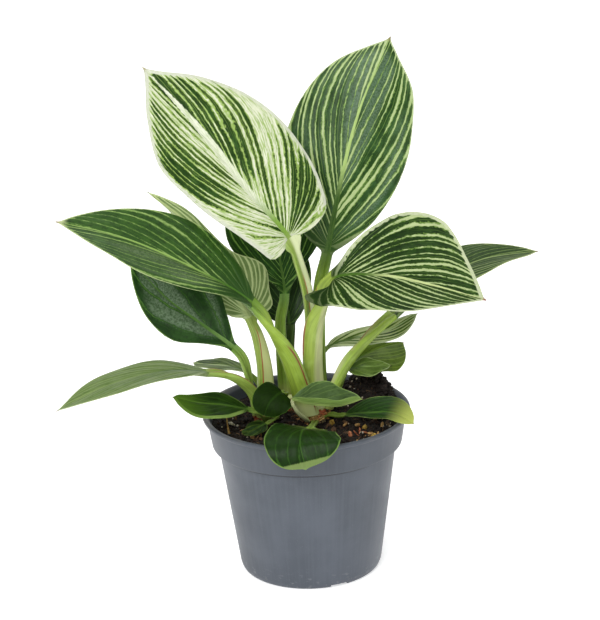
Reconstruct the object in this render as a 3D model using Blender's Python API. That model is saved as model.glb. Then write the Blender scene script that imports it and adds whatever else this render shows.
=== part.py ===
"""Potted variegated philodendron in a round nursery pot.

One plastic pot, the soil in it, three short stems and twenty leaves.  Every leaf is one grown
piece: its stalk and its blade together.  Metres, +Z up, the pot's foot on z = 0 and its axis on
x = y = 0.  The tables below are in millimetres and degrees.
"""
import math

import bpy
import numpy as np

MM = 0.001

# ---- pot -------------------------------------------------------------------------------------
POT_HEIGHT = 96.0
RIM_RADIUS = 60.0
RIM_LIP = 1.6
BAND_HEIGHT = 19.5
BAND_TOP_RADIUS = 57.4
BAND_LOW_RADIUS = 55.0
BODY_TOP_RADIUS = 51.4
BODY_LOW_RADIUS = 41.4
FOOT_OUTER_RADIUS = 38.8
FOOT_INNER_RADIUS = 35.6
FOOT_HEIGHT = 2.8
POT_WALL = 1.4
FLOOR_THICKNESS = 1.4
POT_SEGMENTS = 72
NOTCH_WIDTH = 11.0
NOTCH_HEIGHT = 2.0
NOTCH_ANGLES = (-67.0, 53.0, 173.0)
DRAIN_RADIUS = 2.6
DRAIN_RING = 27.0
DRAIN_COUNT = 8

# ---- soil ------------------------------------------------------------------------------------
SOIL_LEVEL = 88.0
SOIL_HEAP = (38.0, 32.0, 15.5, 14.0)
SOIL_GAP = 0.3
SOIL_RINGS = 11
SOIL_SEGMENTS = 48

# ---- stems: centre x, y, radius, top -----------------------------------------------------------
STEMS = {
    "stem_main": (4.0, 0.0, 8.0, 103.0),
    "stem_left": (-23.0, 0.0, 5.4, 101.0),
    "stem_back": (-10.0, 16.0, 5.2, 100.0),
}
STEM_BOTTOM = 78.0
STEM_SOCKET_GAP = 0.3

# ---- leaves ----------------------------------------------------------------------------------
# Stalk and rib are points from the stem to the joint and from the joint to the tip.  Inner is the
# way from the stalk's foot to the stem.  Face and tip_face are the ways the upper side looks at
# the joint and the tip.  Left and right are half widths at the stations along the rib, seen from
# the joint with the upper side up.  Stalk size is half width and half depth at the foot, and half
# width at the joint.  Fold and curl are degrees, left and right; lobe is how far each side
# reaches back past the joint.
STATIONS = (0.06, 0.20, 0.40, 0.60, 0.80, 0.93)
LEAF_THICKNESS = 0.8
CREASE_WIDTH = 2.2
COLUMNS = (-1.0, -0.66, -0.33, 0.0, 0.33, 0.66, 1.0)
STALK_ROWS = (0.0, 0.2, 0.4, 0.6, 0.8, 0.95)
BLADE_ROWS = (0.0, 0.09, 0.19, 0.30, 0.42, 0.55, 0.68, 0.80, 0.91, 1.0)

LEAVES = {
    "leaf_upper_left": dict(
        stalk=[(1, 3.5, 103.6), (4, 4.5, 130), (4, 0, 160), (-1, -9, 187), (-6, -13, 203)],
        rib=[(-6, -13, 203), (-29, -10, 232), (-55, 0, 266), (-84, 14, 297)],
        inner=(0.3, -0.9), face=(0.30, -0.80, 0.50), tip_face=(0.30, -0.80, 0.50),
        left=(20, 24, 30.5, 33.5, 20, 6), right=(34, 41, 42, 36, 21, 6),
        stalk_size=(4.0, 2.0, 2.8), fold=(8, 10), curl=(-10, -16), lobe=(3, 5)),
    "leaf_upper_right": dict(
        stalk=[(8.3, 5.6, 103.3), (8.6, 10.2, 140), (10.5, 9.3, 168), (15, 10, 186)],
        rib=[(15, 10, 186), (24, 15, 226), (36, 25, 265), (55, 38, 304)],
        inner=(-0.3, -0.9), face=(-0.25, -0.85, 0.45), tip_face=(-0.35, -0.75, 0.50),
        left=(14, 28, 37, 36, 25, 9), right=(10, 26, 36, 37, 29, 10),
        stalk_size=(4.4, 2.2, 3.3), fold=(10, 14), curl=(-8, -12), lobe=(0, 0)),
    "leaf_mid_right": dict(
        stalk=[(5.8, -3.9, 103.4), (4.6, -5, 130), (7, -6.5, 155), (17, -10, 177)],
        rib=[(17, -10, 177), (44, -21, 182), (72, -36, 180), (100, -50, 175)],
        inner=(-0.5, 0.8), face=(-0.10, -0.35, 0.93), tip_face=(0.20, -0.40, 0.90),
        left=(8, 27, 39, 37, 20, 7), right=(26, 29, 31, 27, 16, 6),
        stalk_size=(6.2, 3.2, 6.4), fold=(26, 6), curl=(16, -14), lobe=(0, 13)),
    "leaf_mid_left": dict(
        stalk=[(0.7, -9.1, 98), (-3.8, -14, 118), (-10, -17, 138), (-28, -25, 170)],
        rib=[(-28, -25, 170), (-58, -32, 193), (-98, -38, 215), (-132, -42, 226)],
        inner=(0.3, 0.9), face=(0.10, -0.45, 0.90), tip_face=(0.10, -0.50, 0.85),
        left=(6, 13, 21, 24, 15, 5), right=(9, 20, 25.5, 22, 13, 5),
        stalk_size=(6.8, 3.2, 4.2), fold=(14, 14), curl=(-10, 10), lobe=(0, 0)),
    "leaf_behind_left": dict(
        stalk=[(-23, 0.5, 101.4), (-23, 1, 122), (-26.5, 3, 141), (-31, 4, 151.5)],
        rib=[(-31, 4, 151.5), (-44, 9, 175.5), (-62, 15, 203.5), (-86, 22, 223)],
        inner=(0.3, 0.9), face=(-0.50, 0.55, 0.65), tip_face=(-0.40, 0.50, 0.75),
        left=(21, 26, 11.5, 6.5, 6.5, 3), right=(9, 14, 18, 19, 12, 4),
        stalk_size=(5.6, 2.4, 2.5), fold=(20, 20), curl=(10, 10), lobe=(3, 0)),
    "leaf_low_left": dict(
        stalk=[(-29.5, -1.0, 96), (-32, -5, 119), (-35, -7, 131), (-40, -8, 138)],
        rib=[(-40, -8, 138), (-56, -9, 152), (-78, -8, 170.5), (-96, -6, 193)],
        inner=(0.9, -0.3), face=(-0.10, -0.80, 0.60), tip_face=(-0.10, -0.80, 0.60),
        left=(2.6, 8.6, 17.5, 16.5, 10, 4), right=(4.5, 14, 24, 21, 13, 5),
        stalk_size=(3.2, 1.6, 2.6), fold=(10, 10), curl=(-10, -10), lobe=(0, 0)),
    "leaf_back_centre": dict(
        stalk=[(-12, 14, 100.4), (-13, 17, 128), (-13, 22, 143), (-10, 25, 158)],
        rib=[(-10, 25, 158), (-12, 29, 177), (-16, 39, 204), (-20, 49, 229)],
        inner=(0.0, -1.0), face=(0.0, -0.90, 0.40), tip_face=(0.0, -0.80, 0.50),
        left=(4, 14, 27, 28, 18, 7), right=(4, 14, 27, 28, 18, 7),
        stalk_size=(3.8, 1.8, 2.8), fold=(14, 14), curl=(-8, -8), lobe=(0, 0)),
    "leaf_back_shade": dict(
        stalk=[(-8.3, 18.8, 100.6), (-9, 24, 112), (-9, 30, 124), (-8, 33, 136)],
        rib=[(-8, 33, 136), (-10, 40, 151), (-15, 53, 171), (-22, 70, 187)],
        inner=(0.0, -1.0), face=(0.0, -0.85, 0.50), tip_face=(0.0, -0.80, 0.60),
        left=(9, 18, 22, 21, 14, 5), right=(6, 13, 18, 18, 12, 5),
        stalk_size=(3.8, 1.8, 3.4), fold=(10, 10), curl=(0, 0), lobe=(0, 0)),
    "leaf_far_right": dict(
        stalk=[(13.6, 0.8, 97), (19, 4, 112), (30, 12, 127), (52, 24, 144)],
        rib=[(52, 24, 144), (75, 34, 157), (105, 44, 168), (140, 54, 169)],
        inner=(-0.7, 0.4), face=(-0.30, -0.12, 0.95), tip_face=(0.10, -0.20, 0.95),
        left=(7, 15, 20, 18, 10, 4), right=(7, 15, 20, 18, 10, 4),
        stalk_size=(4.8, 2.4, 4.4), fold=(14, 10), curl=(-10, -10), lobe=(0, 0)),
    "leaf_pale_right": dict(
        stalk=[(4.3, 8.3, 97), (7, 15, 109), (9, 20, 119), (14, 22, 125.2)],
        rib=[(14, 22, 125.2), (31, 26, 129.2), (50, 27, 132.5), (67, 27, 142.5)],
        inner=(0.1, -1.0), face=(-0.20, -0.50, 0.85), tip_face=(-0.20, -0.60, 0.80),
        left=(3, 5, 6, 6, 4, 2), right=(3, 6, 8, 9, 8, 4),
        stalk_size=(2.0, 1.2, 1.5), fold=(10, 10), curl=(0, 0), lobe=(0, 0)),
    "leaf_olive_right": dict(
        stalk=[(9.4, 6.2, 95), (15, 15, 103), (20, 20, 108), (24, 23, 112)],
        rib=[(24, 23, 112), (33, 28, 116), (45, 34, 119), (59, 40, 120)],
        inner=(-0.7, -0.6), face=(0.0, -0.50, 0.85), tip_face=(0.0, -0.60, 0.80),
        left=(4, 6.5, 6.5, 4.5, 2.2, 1), right=(8, 15, 19, 21, 17, 9),
        stalk_size=(2.2, 1.2, 1.6), fold=(10, 10), curl=(0, 0), lobe=(0, 0)),
    "leaf_small_right": dict(
        stalk=[(11.2, 4.4, 91.5), (18, 11, 100), (22, 13, 109), (25, 13, 114.5)],
        rib=[(25, 13, 114.5), (33, 13, 115.5), (41, 13, 115.5), (50, 13, 116)],
        inner=(-0.8, -0.4), face=(0.0, -0.50, 0.85), tip_face=(0.0, -0.60, 0.80),
        left=(2, 4, 6, 5, 3, 1), right=(4, 7, 8, 7, 4, 2),
        stalk_size=(1.8, 1.1, 1.4), fold=(10, 10), curl=(0, 0), lobe=(0, 0)),
    "leaf_yellow_tip": dict(
        stalk=[(10.6, -4.8, 93), (14, -8.5, 95.5), (18, -12, 96), (22, -14, 97)],
        rib=[(22, -14, 97), (36, -20, 100), (49, -26, 101.5), (60.5, -32.5, 97)],
        inner=(-0.7, 0.5), face=(0.0, -0.40, 0.90), tip_face=(0.30, -0.50, 0.85),
        left=(4, 9, 12.5, 12.5, 9, 4.5), right=(2, 3, 4.5, 6, 5.5, 2.8),
        stalk_size=(2.2, 1.2, 1.5), fold=(8, 8), curl=(-10, -10), lobe=(0, 0)),
    "leaf_boat_front": dict(
        stalk=[(0.4, -7.6, 91.5), (-0.5, -18.5, 97), (-5, -27, 105), (-7.5, -32.5, 114.5)],
        rib=[(-7.5, -32.5, 114.5), (1, -34, 112.8), (17, -34, 110.2), (32, -32, 113)],
        inner=(0.3, 0.9), face=(0.0, -0.30, 0.95), tip_face=(0.0, -0.30, 0.95),
        left=(5, 11, 14, 13, 8.5, 4), right=(3, 5.5, 6.4, 6.6, 6.2, 4),
        stalk_size=(2.0, 1.2, 1.2), fold=(40, 70), curl=(0, 0), lobe=(0, 0)),
    "leaf_round_front": dict(
        stalk=[(4.8, -8.0, 91.5), (4.5, -20, 95), (3.5, -30, 98), (1.5, -38.5, 99)],
        rib=[(1.5, -38.5, 99), (-2.5, -51, 103.1), (-4, -64, 100.4), (-1.5, -71.5, 87.9)],
        inner=(0.0, 1.0), face=(-0.10, -0.30, 0.94), tip_face=(-0.04, -0.90, 0.30),
        left=(9, 14.5, 19.5, 22.5, 20.5, 13), right=(11.5, 16.5, 19.5, 20, 16.5, 10.5),
        stalk_size=(2.2, 1.3, 1.8), fold=(4, 4), curl=(-6, -10), lobe=(4, 4)),
    "leaf_round_small": dict(
        stalk=[(-17.2, -1.5, 96), (-13, -8, 105), (-11, -15, 111.5), (-13, -20, 114.5)],
        rib=[(-13, -20, 114.5), (-17, -25, 114), (-21, -28, 110.5), (-24, -29, 103.5)],
        inner=(-0.8, 0.5), face=(0.0, -0.70, 0.70), tip_face=(0.0, -0.90, 0.40),
        left=(8, 10.5, 10.8, 10.3, 8.3, 5.3), right=(7, 10, 10.8, 10.3, 8.3, 5.3),
        stalk_size=(1.8, 1.1, 1.4), fold=(5, 5), curl=(-10, -10), lobe=(0, 0)),
    "leaf_front_left": dict(
        stalk=[(-22.6, -5.9, 91.5), (-24.5, -13, 98), (-28, -17.5, 102), (-33, -19.5, 104.5)],
        rib=[(-33, -19.5, 104.5), (-46, -26, 110), (-60, -33.5, 115), (-74.5, -40, 121.5)],
        inner=(-0.2, 0.9), face=(0.10, -0.50, 0.85), tip_face=(0.0, -0.60, 0.80),
        left=(3, 7, 11, 12, 10, 5.5), right=(3, 6.5, 8, 6.5, 3.5, 2),
        stalk_size=(2.2, 1.3, 1.8), fold=(10, 10), curl=(-5, -5), lobe=(0, 0)),
    "leaf_drooping_left": dict(
        stalk=[(-25.1, -6.1, 96), (-31, -11, 113), (-42, -18, 125), (-55, -24, 130)],
        rib=[(-55, -24, 130), (-78, -34, 135), (-108, -45, 132), (-138, -55, 121)],
        inner=(0.4, 0.9), face=(0.0, -0.10, 0.98), tip_face=(-0.20, -0.20, 0.95),
        left=(6, 13, 17, 16, 10, 4), right=(6, 12, 15, 14, 9, 3),
        stalk_size=(4.4, 2.0, 3.2), fold=(10, 4), curl=(-5, -10), lobe=(0, 0)),
    "leaf_thin_left": dict(
        stalk=[(-23, 6.0, 96), (-26, 8, 108), (-30, 9, 113.5), (-34, 10, 116.5)],
        rib=[(-34, 10, 116.5), (-43, 14, 118.5), (-55, 18, 118.5), (-65, 22, 118.5)],
        inner=(0.0, -1.0), face=(0.0, -0.06, 0.99), tip_face=(0.0, -0.06, 0.99),
        left=(3, 6, 8, 8, 6.5, 3.5), right=(3, 6, 8, 8, 6.5, 3.5),
        stalk_size=(2.0, 1.2, 1.5), fold=(5, 5), curl=(0, 0), lobe=(0, 0)),
    "leaf_on_soil": dict(
        stalk=[(-18.9, -3.9, 92.5), (-16.5, -9, 95), (-19, -14, 95.5), (-23, -17, 94.5)],
        rib=[(-23, -17, 94.5), (-27, -20, 94), (-31, -24, 93), (-37, -28, 93)],
        inner=(-0.7, 0.6), face=(0.0, -0.40, 0.90), tip_face=(0.0, -0.40, 0.90),
        left=(3, 5, 5, 5, 3, 2), right=(3, 5, 5, 5, 3, 2),
        stalk_size=(1.6, 1.0, 1.2), fold=(5, 5), curl=(0, 0), lobe=(0, 0)),
}

# ---- finishes: colour, roughness ---------------------------------------------------------------
PLASTIC = ((0.14, 0.155, 0.18), 0.55)
PEAT = ((0.022, 0.015, 0.011), 0.95)
STEM_GREEN = ((0.30, 0.36, 0.12), 0.55)
DARK_LEAF = ((0.035, 0.12, 0.025), 0.38)
PALE_LEAF = ((0.30, 0.42, 0.18), 0.42)
PALE_LEAVES = ("leaf_upper_left", "leaf_behind_left", "leaf_pale_right")


# ---- small helpers ---------------------------------------------------------------------------
def unit(v):
    v = np.asarray(v, float)
    return v / max(1e-9, float(np.linalg.norm(v)))


def smooth_step(x):
    x = min(1.0, max(0.0, x))
    return x * x * (3.0 - 2.0 * x)


def span(a, b, c, d, n, last):
    """One centripetal Catmull-Rom span from b to c."""
    t1 = max(1e-6, np.linalg.norm(b - a)) ** 0.5
    t2 = t1 + max(1e-6, np.linalg.norm(c - b)) ** 0.5
    t3 = t2 + max(1e-6, np.linalg.norm(d - c)) ** 0.5
    out = []
    for k in range(n + (1 if last else 0)):
        t = t1 + (t2 - t1) * k / n
        a1 = (t1 - t) / t1 * a + t / t1 * b
        a2 = (t2 - t) / (t2 - t1) * b + (t - t1) / (t2 - t1) * c
        a3 = (t3 - t) / (t3 - t2) * c + (t - t2) / (t3 - t2) * d
        b1 = (t2 - t) / t2 * a1 + t / t2 * a2
        b2 = (t3 - t) / (t3 - t1) * a2 + (t - t1) / (t3 - t1) * a3
        out.append((t2 - t) / (t2 - t1) * b1 + (t - t1) / (t2 - t1) * b2)
    return out


def spline(points, n=24):
    """A dense smooth line through the points."""
    p = [np.asarray(q, float) for q in points]
    p = [2 * p[0] - p[1]] + p + [2 * p[-1] - p[-2]]
    out = []
    for i in range(1, len(p) - 2):
        out += span(p[i - 1], p[i], p[i + 1], p[i + 2], n, i == len(p) - 3)
    return np.array(out)


def measured(line):
    """A line with its running length."""
    step = np.linalg.norm(np.diff(line, axis=0), axis=1)
    return line, np.concatenate([[0.0], np.cumsum(step)])


def at_length(line, run, s):
    return np.array([np.interp(s, run, line[:, k]) for k in range(line.shape[1])])


def finish(name, look):
    """A plain Principled material of one colour and roughness, for one piece."""
    material = bpy.data.materials.new(name)
    material.use_nodes = True
    shader = material.node_tree.nodes["Principled BSDF"]
    shader.inputs["Base Color"].default_value = (*look[0], 1.0)
    shader.inputs["Roughness"].default_value = look[1]
    shader.inputs["Metallic"].default_value = 0.0
    return material


def add_mesh(name, points, faces, origin=(0.0, 0.0, 0.0)):
    """A mesh object from points in millimetres, with its own origin."""
    origin = np.asarray(origin, float)
    mesh = bpy.data.meshes.new(name)
    mesh.from_pydata([tuple(float(c) * MM for c in np.asarray(p) - origin) for p in points], [], faces)
    obj = bpy.data.objects.new(name, mesh)
    obj.location = [float(c) * MM for c in origin]
    bpy.context.scene.collection.objects.link(obj)
    return obj


def smooth(obj, degrees):
    obj.data.shade_smooth()
    obj.data.set_sharp_from_angle(angle=math.radians(degrees))


def cut(obj, cutters):
    """Cut the cutters out of the object; they stay in the scene as hidden guides."""
    for cutter in cutters:
        cutter.hide_render = True
        cutter.display_type = "WIRE"
        mod = obj.modifiers.new("cut_" + cutter.name, "BOOLEAN")
        mod.operation = "DIFFERENCE"
        mod.object = cutter


def turned(name, profile, segments, x=0.0, y=0.0):
    """A closed solid of revolution; the profile runs from axis to axis, outside upward."""
    points = []
    rings = []
    for r, z in profile:
        if r < 1e-6:
            rings.append([len(points)])
            points.append((0.0, 0.0, z))
            continue
        rings.append(list(range(len(points), len(points) + segments)))
        for k in range(segments):
            a = 2.0 * math.pi * k / segments
            points.append((r * math.cos(a), r * math.sin(a), z))
    faces = []
    for low, high in zip(rings, rings[1:]):
        for k in range(segments):
            j = (k + 1) % segments
            if len(low) == 1:
                faces.append((low[0], high[j], high[k]))
            elif len(high) == 1:
                faces.append((low[k], low[j], high[0]))
            else:
                faces.append((low[k], low[j], high[j], high[k]))
    obj = add_mesh(name, points, faces)
    obj.location = (x * MM, y * MM, 0.0)
    return obj


# ---- pot -------------------------------------------------------------------------------------
def pot_profile():
    band_low = POT_HEIGHT - BAND_HEIGHT
    floor = FOOT_HEIGHT + FLOOR_THICKNESS
    w = POT_WALL
    return [
        (0.0, FOOT_HEIGHT - 0.6),
        (FOOT_INNER_RADIUS - 1.2, FOOT_HEIGHT - 0.6),
        (FOOT_INNER_RADIUS, 0.0),
        (FOOT_OUTER_RADIUS, 0.0),
        (FOOT_OUTER_RADIUS + 1.5, 0.9),
        (BODY_LOW_RADIUS, 3.6),
        (BODY_TOP_RADIUS, band_low - 1.0),
        (BODY_TOP_RADIUS + 0.6, band_low - 0.2),
        (BAND_LOW_RADIUS - 0.6, band_low),
        (BAND_LOW_RADIUS, band_low + 0.7),
        (BAND_TOP_RADIUS, POT_HEIGHT - 3.2),
        (RIM_RADIUS - 0.5, POT_HEIGHT - 2.4),
        (RIM_RADIUS, POT_HEIGHT - 1.8),
        (RIM_RADIUS, POT_HEIGHT - 0.5),
        (RIM_RADIUS - 0.5, POT_HEIGHT),
        (RIM_RADIUS - RIM_LIP - 0.5, POT_HEIGHT),
        (BAND_TOP_RADIUS - w, POT_HEIGHT - 1.8),
        (BAND_LOW_RADIUS - w, band_low + 1.6),
        (BODY_TOP_RADIUS - w, band_low - 0.4),
        (BODY_LOW_RADIUS - w, floor + 1.6),
        (BODY_LOW_RADIUS - w - 2.2, floor),
        (0.0, floor),
    ]


def box_at(name, angle, radius, size):
    """A box centred at the radius and turned to the angle; size is radial, across, up."""
    bpy.ops.mesh.primitive_cube_add(size=MM)
    box = bpy.context.object
    box.name = name
    a = math.radians(angle)
    box.location = (radius * math.cos(a) * MM, radius * math.sin(a) * MM, 0.0)
    box.rotation_euler = (0.0, 0.0, a)
    box.scale = size
    return box


def rod(name, x, y, radius, low, high, sides):
    """An upright rod."""
    bpy.ops.mesh.primitive_cylinder_add(vertices=sides, radius=radius * MM, depth=(high - low) * MM)
    obj = bpy.context.object
    obj.name = name
    obj.location = (x * MM, y * MM, 0.5 * (low + high) * MM)
    return obj


def make_pot():
    pot = turned("pot", pot_profile(), POT_SEGMENTS)
    radius = 0.5 * (FOOT_INNER_RADIUS + FOOT_OUTER_RADIUS)
    size = (12.0, NOTCH_WIDTH, 2 * NOTCH_HEIGHT)
    cutters = [box_at(f"notch_{i}", a, radius, size) for i, a in enumerate(NOTCH_ANGLES)]
    for k in range(DRAIN_COUNT):
        a = 2.0 * math.pi * (k + 0.37) / DRAIN_COUNT
        x, y = DRAIN_RING * math.cos(a), DRAIN_RING * math.sin(a)
        cutters.append(rod(f"drain_{k}", x, y, DRAIN_RADIUS, 0.5, 6.0, 14))
    cut(pot, cutters)
    smooth(pot, 30)
    pot.data.materials.append(finish("pot", PLASTIC))
    return pot


# ---- soil ------------------------------------------------------------------------------------
def pot_inside(z):
    """Inner radius of the pot at height z."""
    profile = pot_profile()[16:21]
    heights = [p[1] for p in profile][::-1]
    radii = [p[0] for p in profile][::-1]
    return float(np.interp(z, heights, radii))


def soil_height(x, y):
    """Top of the soil: a flat bed, a heap at the back right and slight mounds."""
    hx, hy, tall, wide = SOIL_HEAP
    z = SOIL_LEVEL + tall * math.exp(-((x - hx) ** 2 + (y - hy) ** 2) / (2 * wide * wide))
    z += 1.2 * math.exp(-((x - 2) ** 2 + y * y) / 700.0)
    z += 0.6 * math.sin(x * 0.19 + 1.0) * math.cos(y * 0.17 + 0.4)
    return z


def soil_ring(r, z):
    n = SOIL_SEGMENTS
    return [(r * math.cos(2 * math.pi * k / n), r * math.sin(2 * math.pi * k / n), z) for k in range(n)]


def make_soil():
    n = SOIL_SEGMENTS
    points = [(0.0, 0.0, soil_height(0.0, 0.0))]
    for i in range(1, SOIL_RINGS):
        r = (pot_inside(SOIL_LEVEL) - 1.0) * (i / SOIL_RINGS) ** 0.9
        points += [(x, y, soil_height(x, y)) for x, y, z in soil_ring(r, 0.0)]
    for x, y, z in soil_ring(1.0, 0.0):
        r = pot_inside(SOIL_LEVEL)
        z = min(soil_height(x * r, y * r), POT_HEIGHT - 3.0)
        r = pot_inside(z) - SOIL_GAP
        points.append((x * r, y * r, z))
    floor = FOOT_HEIGHT + FLOOR_THICKNESS + SOIL_GAP
    for z in (POT_HEIGHT - BAND_HEIGHT - 0.6, floor + 1.8, floor):
        points += soil_ring(pot_inside(z) - SOIL_GAP, z)
    points.append((0.0, 0.0, floor))
    faces = [(0, 1 + k, 1 + (k + 1) % n) for k in range(n)]
    for i in range(SOIL_RINGS + 2):
        a, b = 1 + i * n, 1 + (i + 1) * n
        faces += [(a + k, b + k, b + (k + 1) % n, a + (k + 1) % n) for k in range(n)]
    last = 1 + (SOIL_RINGS + 2) * n
    faces += [(last + k, len(points) - 1, last + (k + 1) % n) for k in range(n)]
    soil = add_mesh("soil", points, faces)
    cut(soil, [rod("socket_" + name, x, y, radius + STEM_SOCKET_GAP,
                   STEM_BOTTOM - STEM_SOCKET_GAP, SOIL_LEVEL + 20.0, 24)
               for name, (x, y, radius, top) in STEMS.items()])
    soil.data.materials.append(finish("soil", PEAT))
    return soil


# ---- stems -----------------------------------------------------------------------------------
def make_stem(name, x, y, radius, top):
    """A short upright stem with leaf-scar rings and a low domed top."""
    level = SOIL_LEVEL
    rows = [(0.0, STEM_BOTTOM), (0.92, STEM_BOTTOM), (0.98, STEM_BOTTOM + 4.0), (0.93, level + 1.5),
            (0.97, level + 3.0), (0.90, level + 4.5), (0.94, level + 7.0), (0.86, level + 8.5),
            (0.90, top - 2.5), (0.80, top - 0.6), (0.60, top), (0.0, top)]
    stem = turned(name, [(r * radius, z) for r, z in rows], 24, x, y)
    smooth(stem, 50)
    stem.data.materials.append(finish(name, STEM_GREEN))
    return stem


# ---- leaves ----------------------------------------------------------------------------------
class Leaf:
    """One leaf: a stalk from the crown to the joint and a blade on its rib."""

    def __init__(self, stalk, rib, inner, face, tip_face, left, right, stalk_size, fold, curl, lobe):
        self.line, self.run = measured(spline(list(stalk) + list(rib[1:])))
        self.joint = self.run[(len(stalk) - 1) * 24]
        self.total = self.run[-1]
        self.blade = self.total - self.joint
        self.face = unit(face)
        self.tip_face = unit(tip_face)
        self.halves = (float(max(left)), float(max(right)))
        self.size = stalk_size
        self.fold = fold
        self.curl = curl
        self.inner = unit((inner[0], inner[1], 0.3))
        self.edges = [self.outline(left, lobe[0]), self.outline(right, lobe[1])]

    def outline(self, widths, lobe):
        """One margin from the joint to the tip as (along, across)."""
        points = [(0.0, 0.0)]
        if lobe > 0:
            w = widths[1]
            points += [(-lobe * 0.8, 0.22 * w), (-lobe, 0.45 * w), (-lobe * 0.45, 0.70 * w)]
        points += [(k * self.blade, w) for k, w in zip(STATIONS, widths)]
        points += [(0.985 * self.blade, 0.12 * widths[-1]), (self.blade, 0.0)]
        return measured(spline(points, 16))

    def frame(self, s):
        """Point, tangent, side and upper-face direction at length s."""
        p = at_length(self.line, self.run, s)
        a = at_length(self.line, self.run, max(0.0, s - 1.5))
        b = at_length(self.line, self.run, min(self.total, s + 1.5))
        t = unit(b - a)
        if s <= self.joint:
            k = smooth_step((s / self.joint - 0.3) / 0.7)
            up = self.inner * (1 - k) + self.face * k
        else:
            k = (s - self.joint) / self.blade
            up = self.face * (1 - k) + self.tip_face * k
        up = unit(up - t * float(up @ t))
        return p, t, np.cross(t, up), up

    def stalk_radii(self, s):
        """Half width and half depth of the stalk at length s."""
        k = min(1.0, s / self.joint)
        wide, deep, top = self.size
        return top + (wide - top) * (1.0 - k) ** 0.8, deep + (0.9 * top - deep) * smooth_step(k * 1.6)

    def vein(self, e, t):
        """Flat place of vein e at t across: -1 the left margin, 1 the right one."""
        edge, run = self.edges[1 if t >= 0 else 0]
        sign = 1.0 if t >= 0 else -1.0
        t = abs(t)
        m = at_length(edge, run, run[-1] * e)
        start = np.array([self.blade * (e ** 2.1), 0.0])
        stub = self.size[2] * max(0.06, (1 - e) ** 1.5)
        m[1] = math.hypot(max(m[1], 0.0), stub)
        chord = m - start
        bulge = 0.16 * smooth_step((e - 0.04) / 0.4)
        middle = start + 0.5 * chord + np.array([-chord[1], chord[0]]) * bulge
        out = (1 - t) ** 2 * start + 2 * t * (1 - t) * middle + t * t * m
        if out[0] < 0.0:
            out[0] *= smooth_step(out[1] / self.size[2] - 1.0)
        return out[0], sign * out[1]

    def place(self, along, across):
        """A flat place in space and the upper-face direction there."""
        s = self.joint + min(max(along, 0.0), self.blade)
        p = self.frame(s)[0]
        reach = 0.10 * self.blade
        flat = self.joint + reach * smooth_step(math.hypot(along, across) / reach)
        t, side, up = self.frame(max(s, flat))[1:]
        p = p + t * min(along, 0.0)
        i = 1 if across >= 0 else 0
        sign = 1.0 if across >= 0 else -1.0
        v = abs(across)
        th = math.radians(self.fold[i])
        k = math.radians(self.curl[i]) / self.halves[i]
        if abs(k) < 1e-6:
            y, z = v * math.cos(th), v * math.sin(th)
        else:
            y = (math.sin(th + k * v) - math.sin(th)) / k
            z = (math.cos(th) - math.cos(th + k * v)) / k
        angle = (th + k * v) * smooth_step(v / CREASE_WIDTH)
        normal = up * math.cos(angle) - side * math.sin(angle) * sign
        return p + side * y * sign + up * z, unit(normal)

    def ridge(self, along, across):
        """Depth of the rib under the blade."""
        k = min(1.0, max(0.0, along / self.blade))
        deep = self.stalk_radii(self.joint)[1] * 1.15 * (1 - k) ** 1.3
        wide = self.size[2] * (0.35 + 0.65 * (1 - k)) * 0.9
        return deep * math.exp(-(across / wide) ** 2)

    def stalk_ring(self, s):
        p, t, side, up = self.frame(s)
        a, b = self.stalk_radii(s)
        arc = [math.sqrt(1 - (0.94 * c) ** 2) for c in COLUMNS]
        top = [p + side * a * c + up * b * 0.75 * h for c, h in zip(COLUMNS, arc)]
        low = [p + side * a * c - up * b * h for c, h in zip(COLUMNS, arc)]
        return top + low[::-1]

    def blade_ring(self, e):
        top = []
        low = []
        for c in COLUMNS:
            along, across = self.vein(e, c)
            q, n = self.place(along, across)
            top.append(q + n * LEAF_THICKNESS / 2)
            low.append(q - n * (LEAF_THICKNESS / 2 + self.ridge(along, across)))
        return top + low[::-1]

    def rings(self):
        rows = [self.stalk_ring(self.joint * s) for s in STALK_ROWS]
        return rows + [self.blade_ring(e) for e in BLADE_ROWS]


def make_leaf(name, spec):
    """The closed skin of a leaf: rows from the stem to the tip."""
    rings = Leaf(**spec).rings()
    n = len(rings[0])
    points = [p for ring in rings for p in ring]
    faces = [tuple(range(n - 1, -1, -1))]
    for i in range(len(rings) - 1):
        for j in range(n):
            k = (j + 1) % n
            faces.append((i * n + j, i * n + k, (i + 1) * n + k, (i + 1) * n + j))
    last = (len(rings) - 1) * n
    faces.append(tuple(last + j for j in range(n)))
    leaf = add_mesh(name, points, faces, origin=spec["stalk"][0])
    smooth(leaf, 60)
    leaf.data.materials.append(finish(name, PALE_LEAF if name in PALE_LEAVES else DARK_LEAF))
    return leaf


def main():
    for obj in list(bpy.data.objects):
        bpy.data.objects.remove(obj)
    pieces = [make_pot(), make_soil()]
    pieces += [make_stem(name, *values) for name, values in STEMS.items()]
    pieces += [make_leaf(name, spec) for name, spec in LEAVES.items()]
    plant = bpy.data.objects.new("potted_plant", None)
    bpy.context.scene.collection.objects.link(plant)
    for piece in pieces:
        piece.parent = plant


main()
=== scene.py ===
"""Looks of the potted variegated philodendron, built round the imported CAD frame.

Every leaf is one grown piece: its stalk and its blade together, on the same rib, margin and face
directions as the CAD leaf it stands for.  The leaf tables are in millimetres and degrees.
"""
import math

import bmesh
import bpy
import numpy as np
from mathutils import Matrix, Vector, noise


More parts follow.
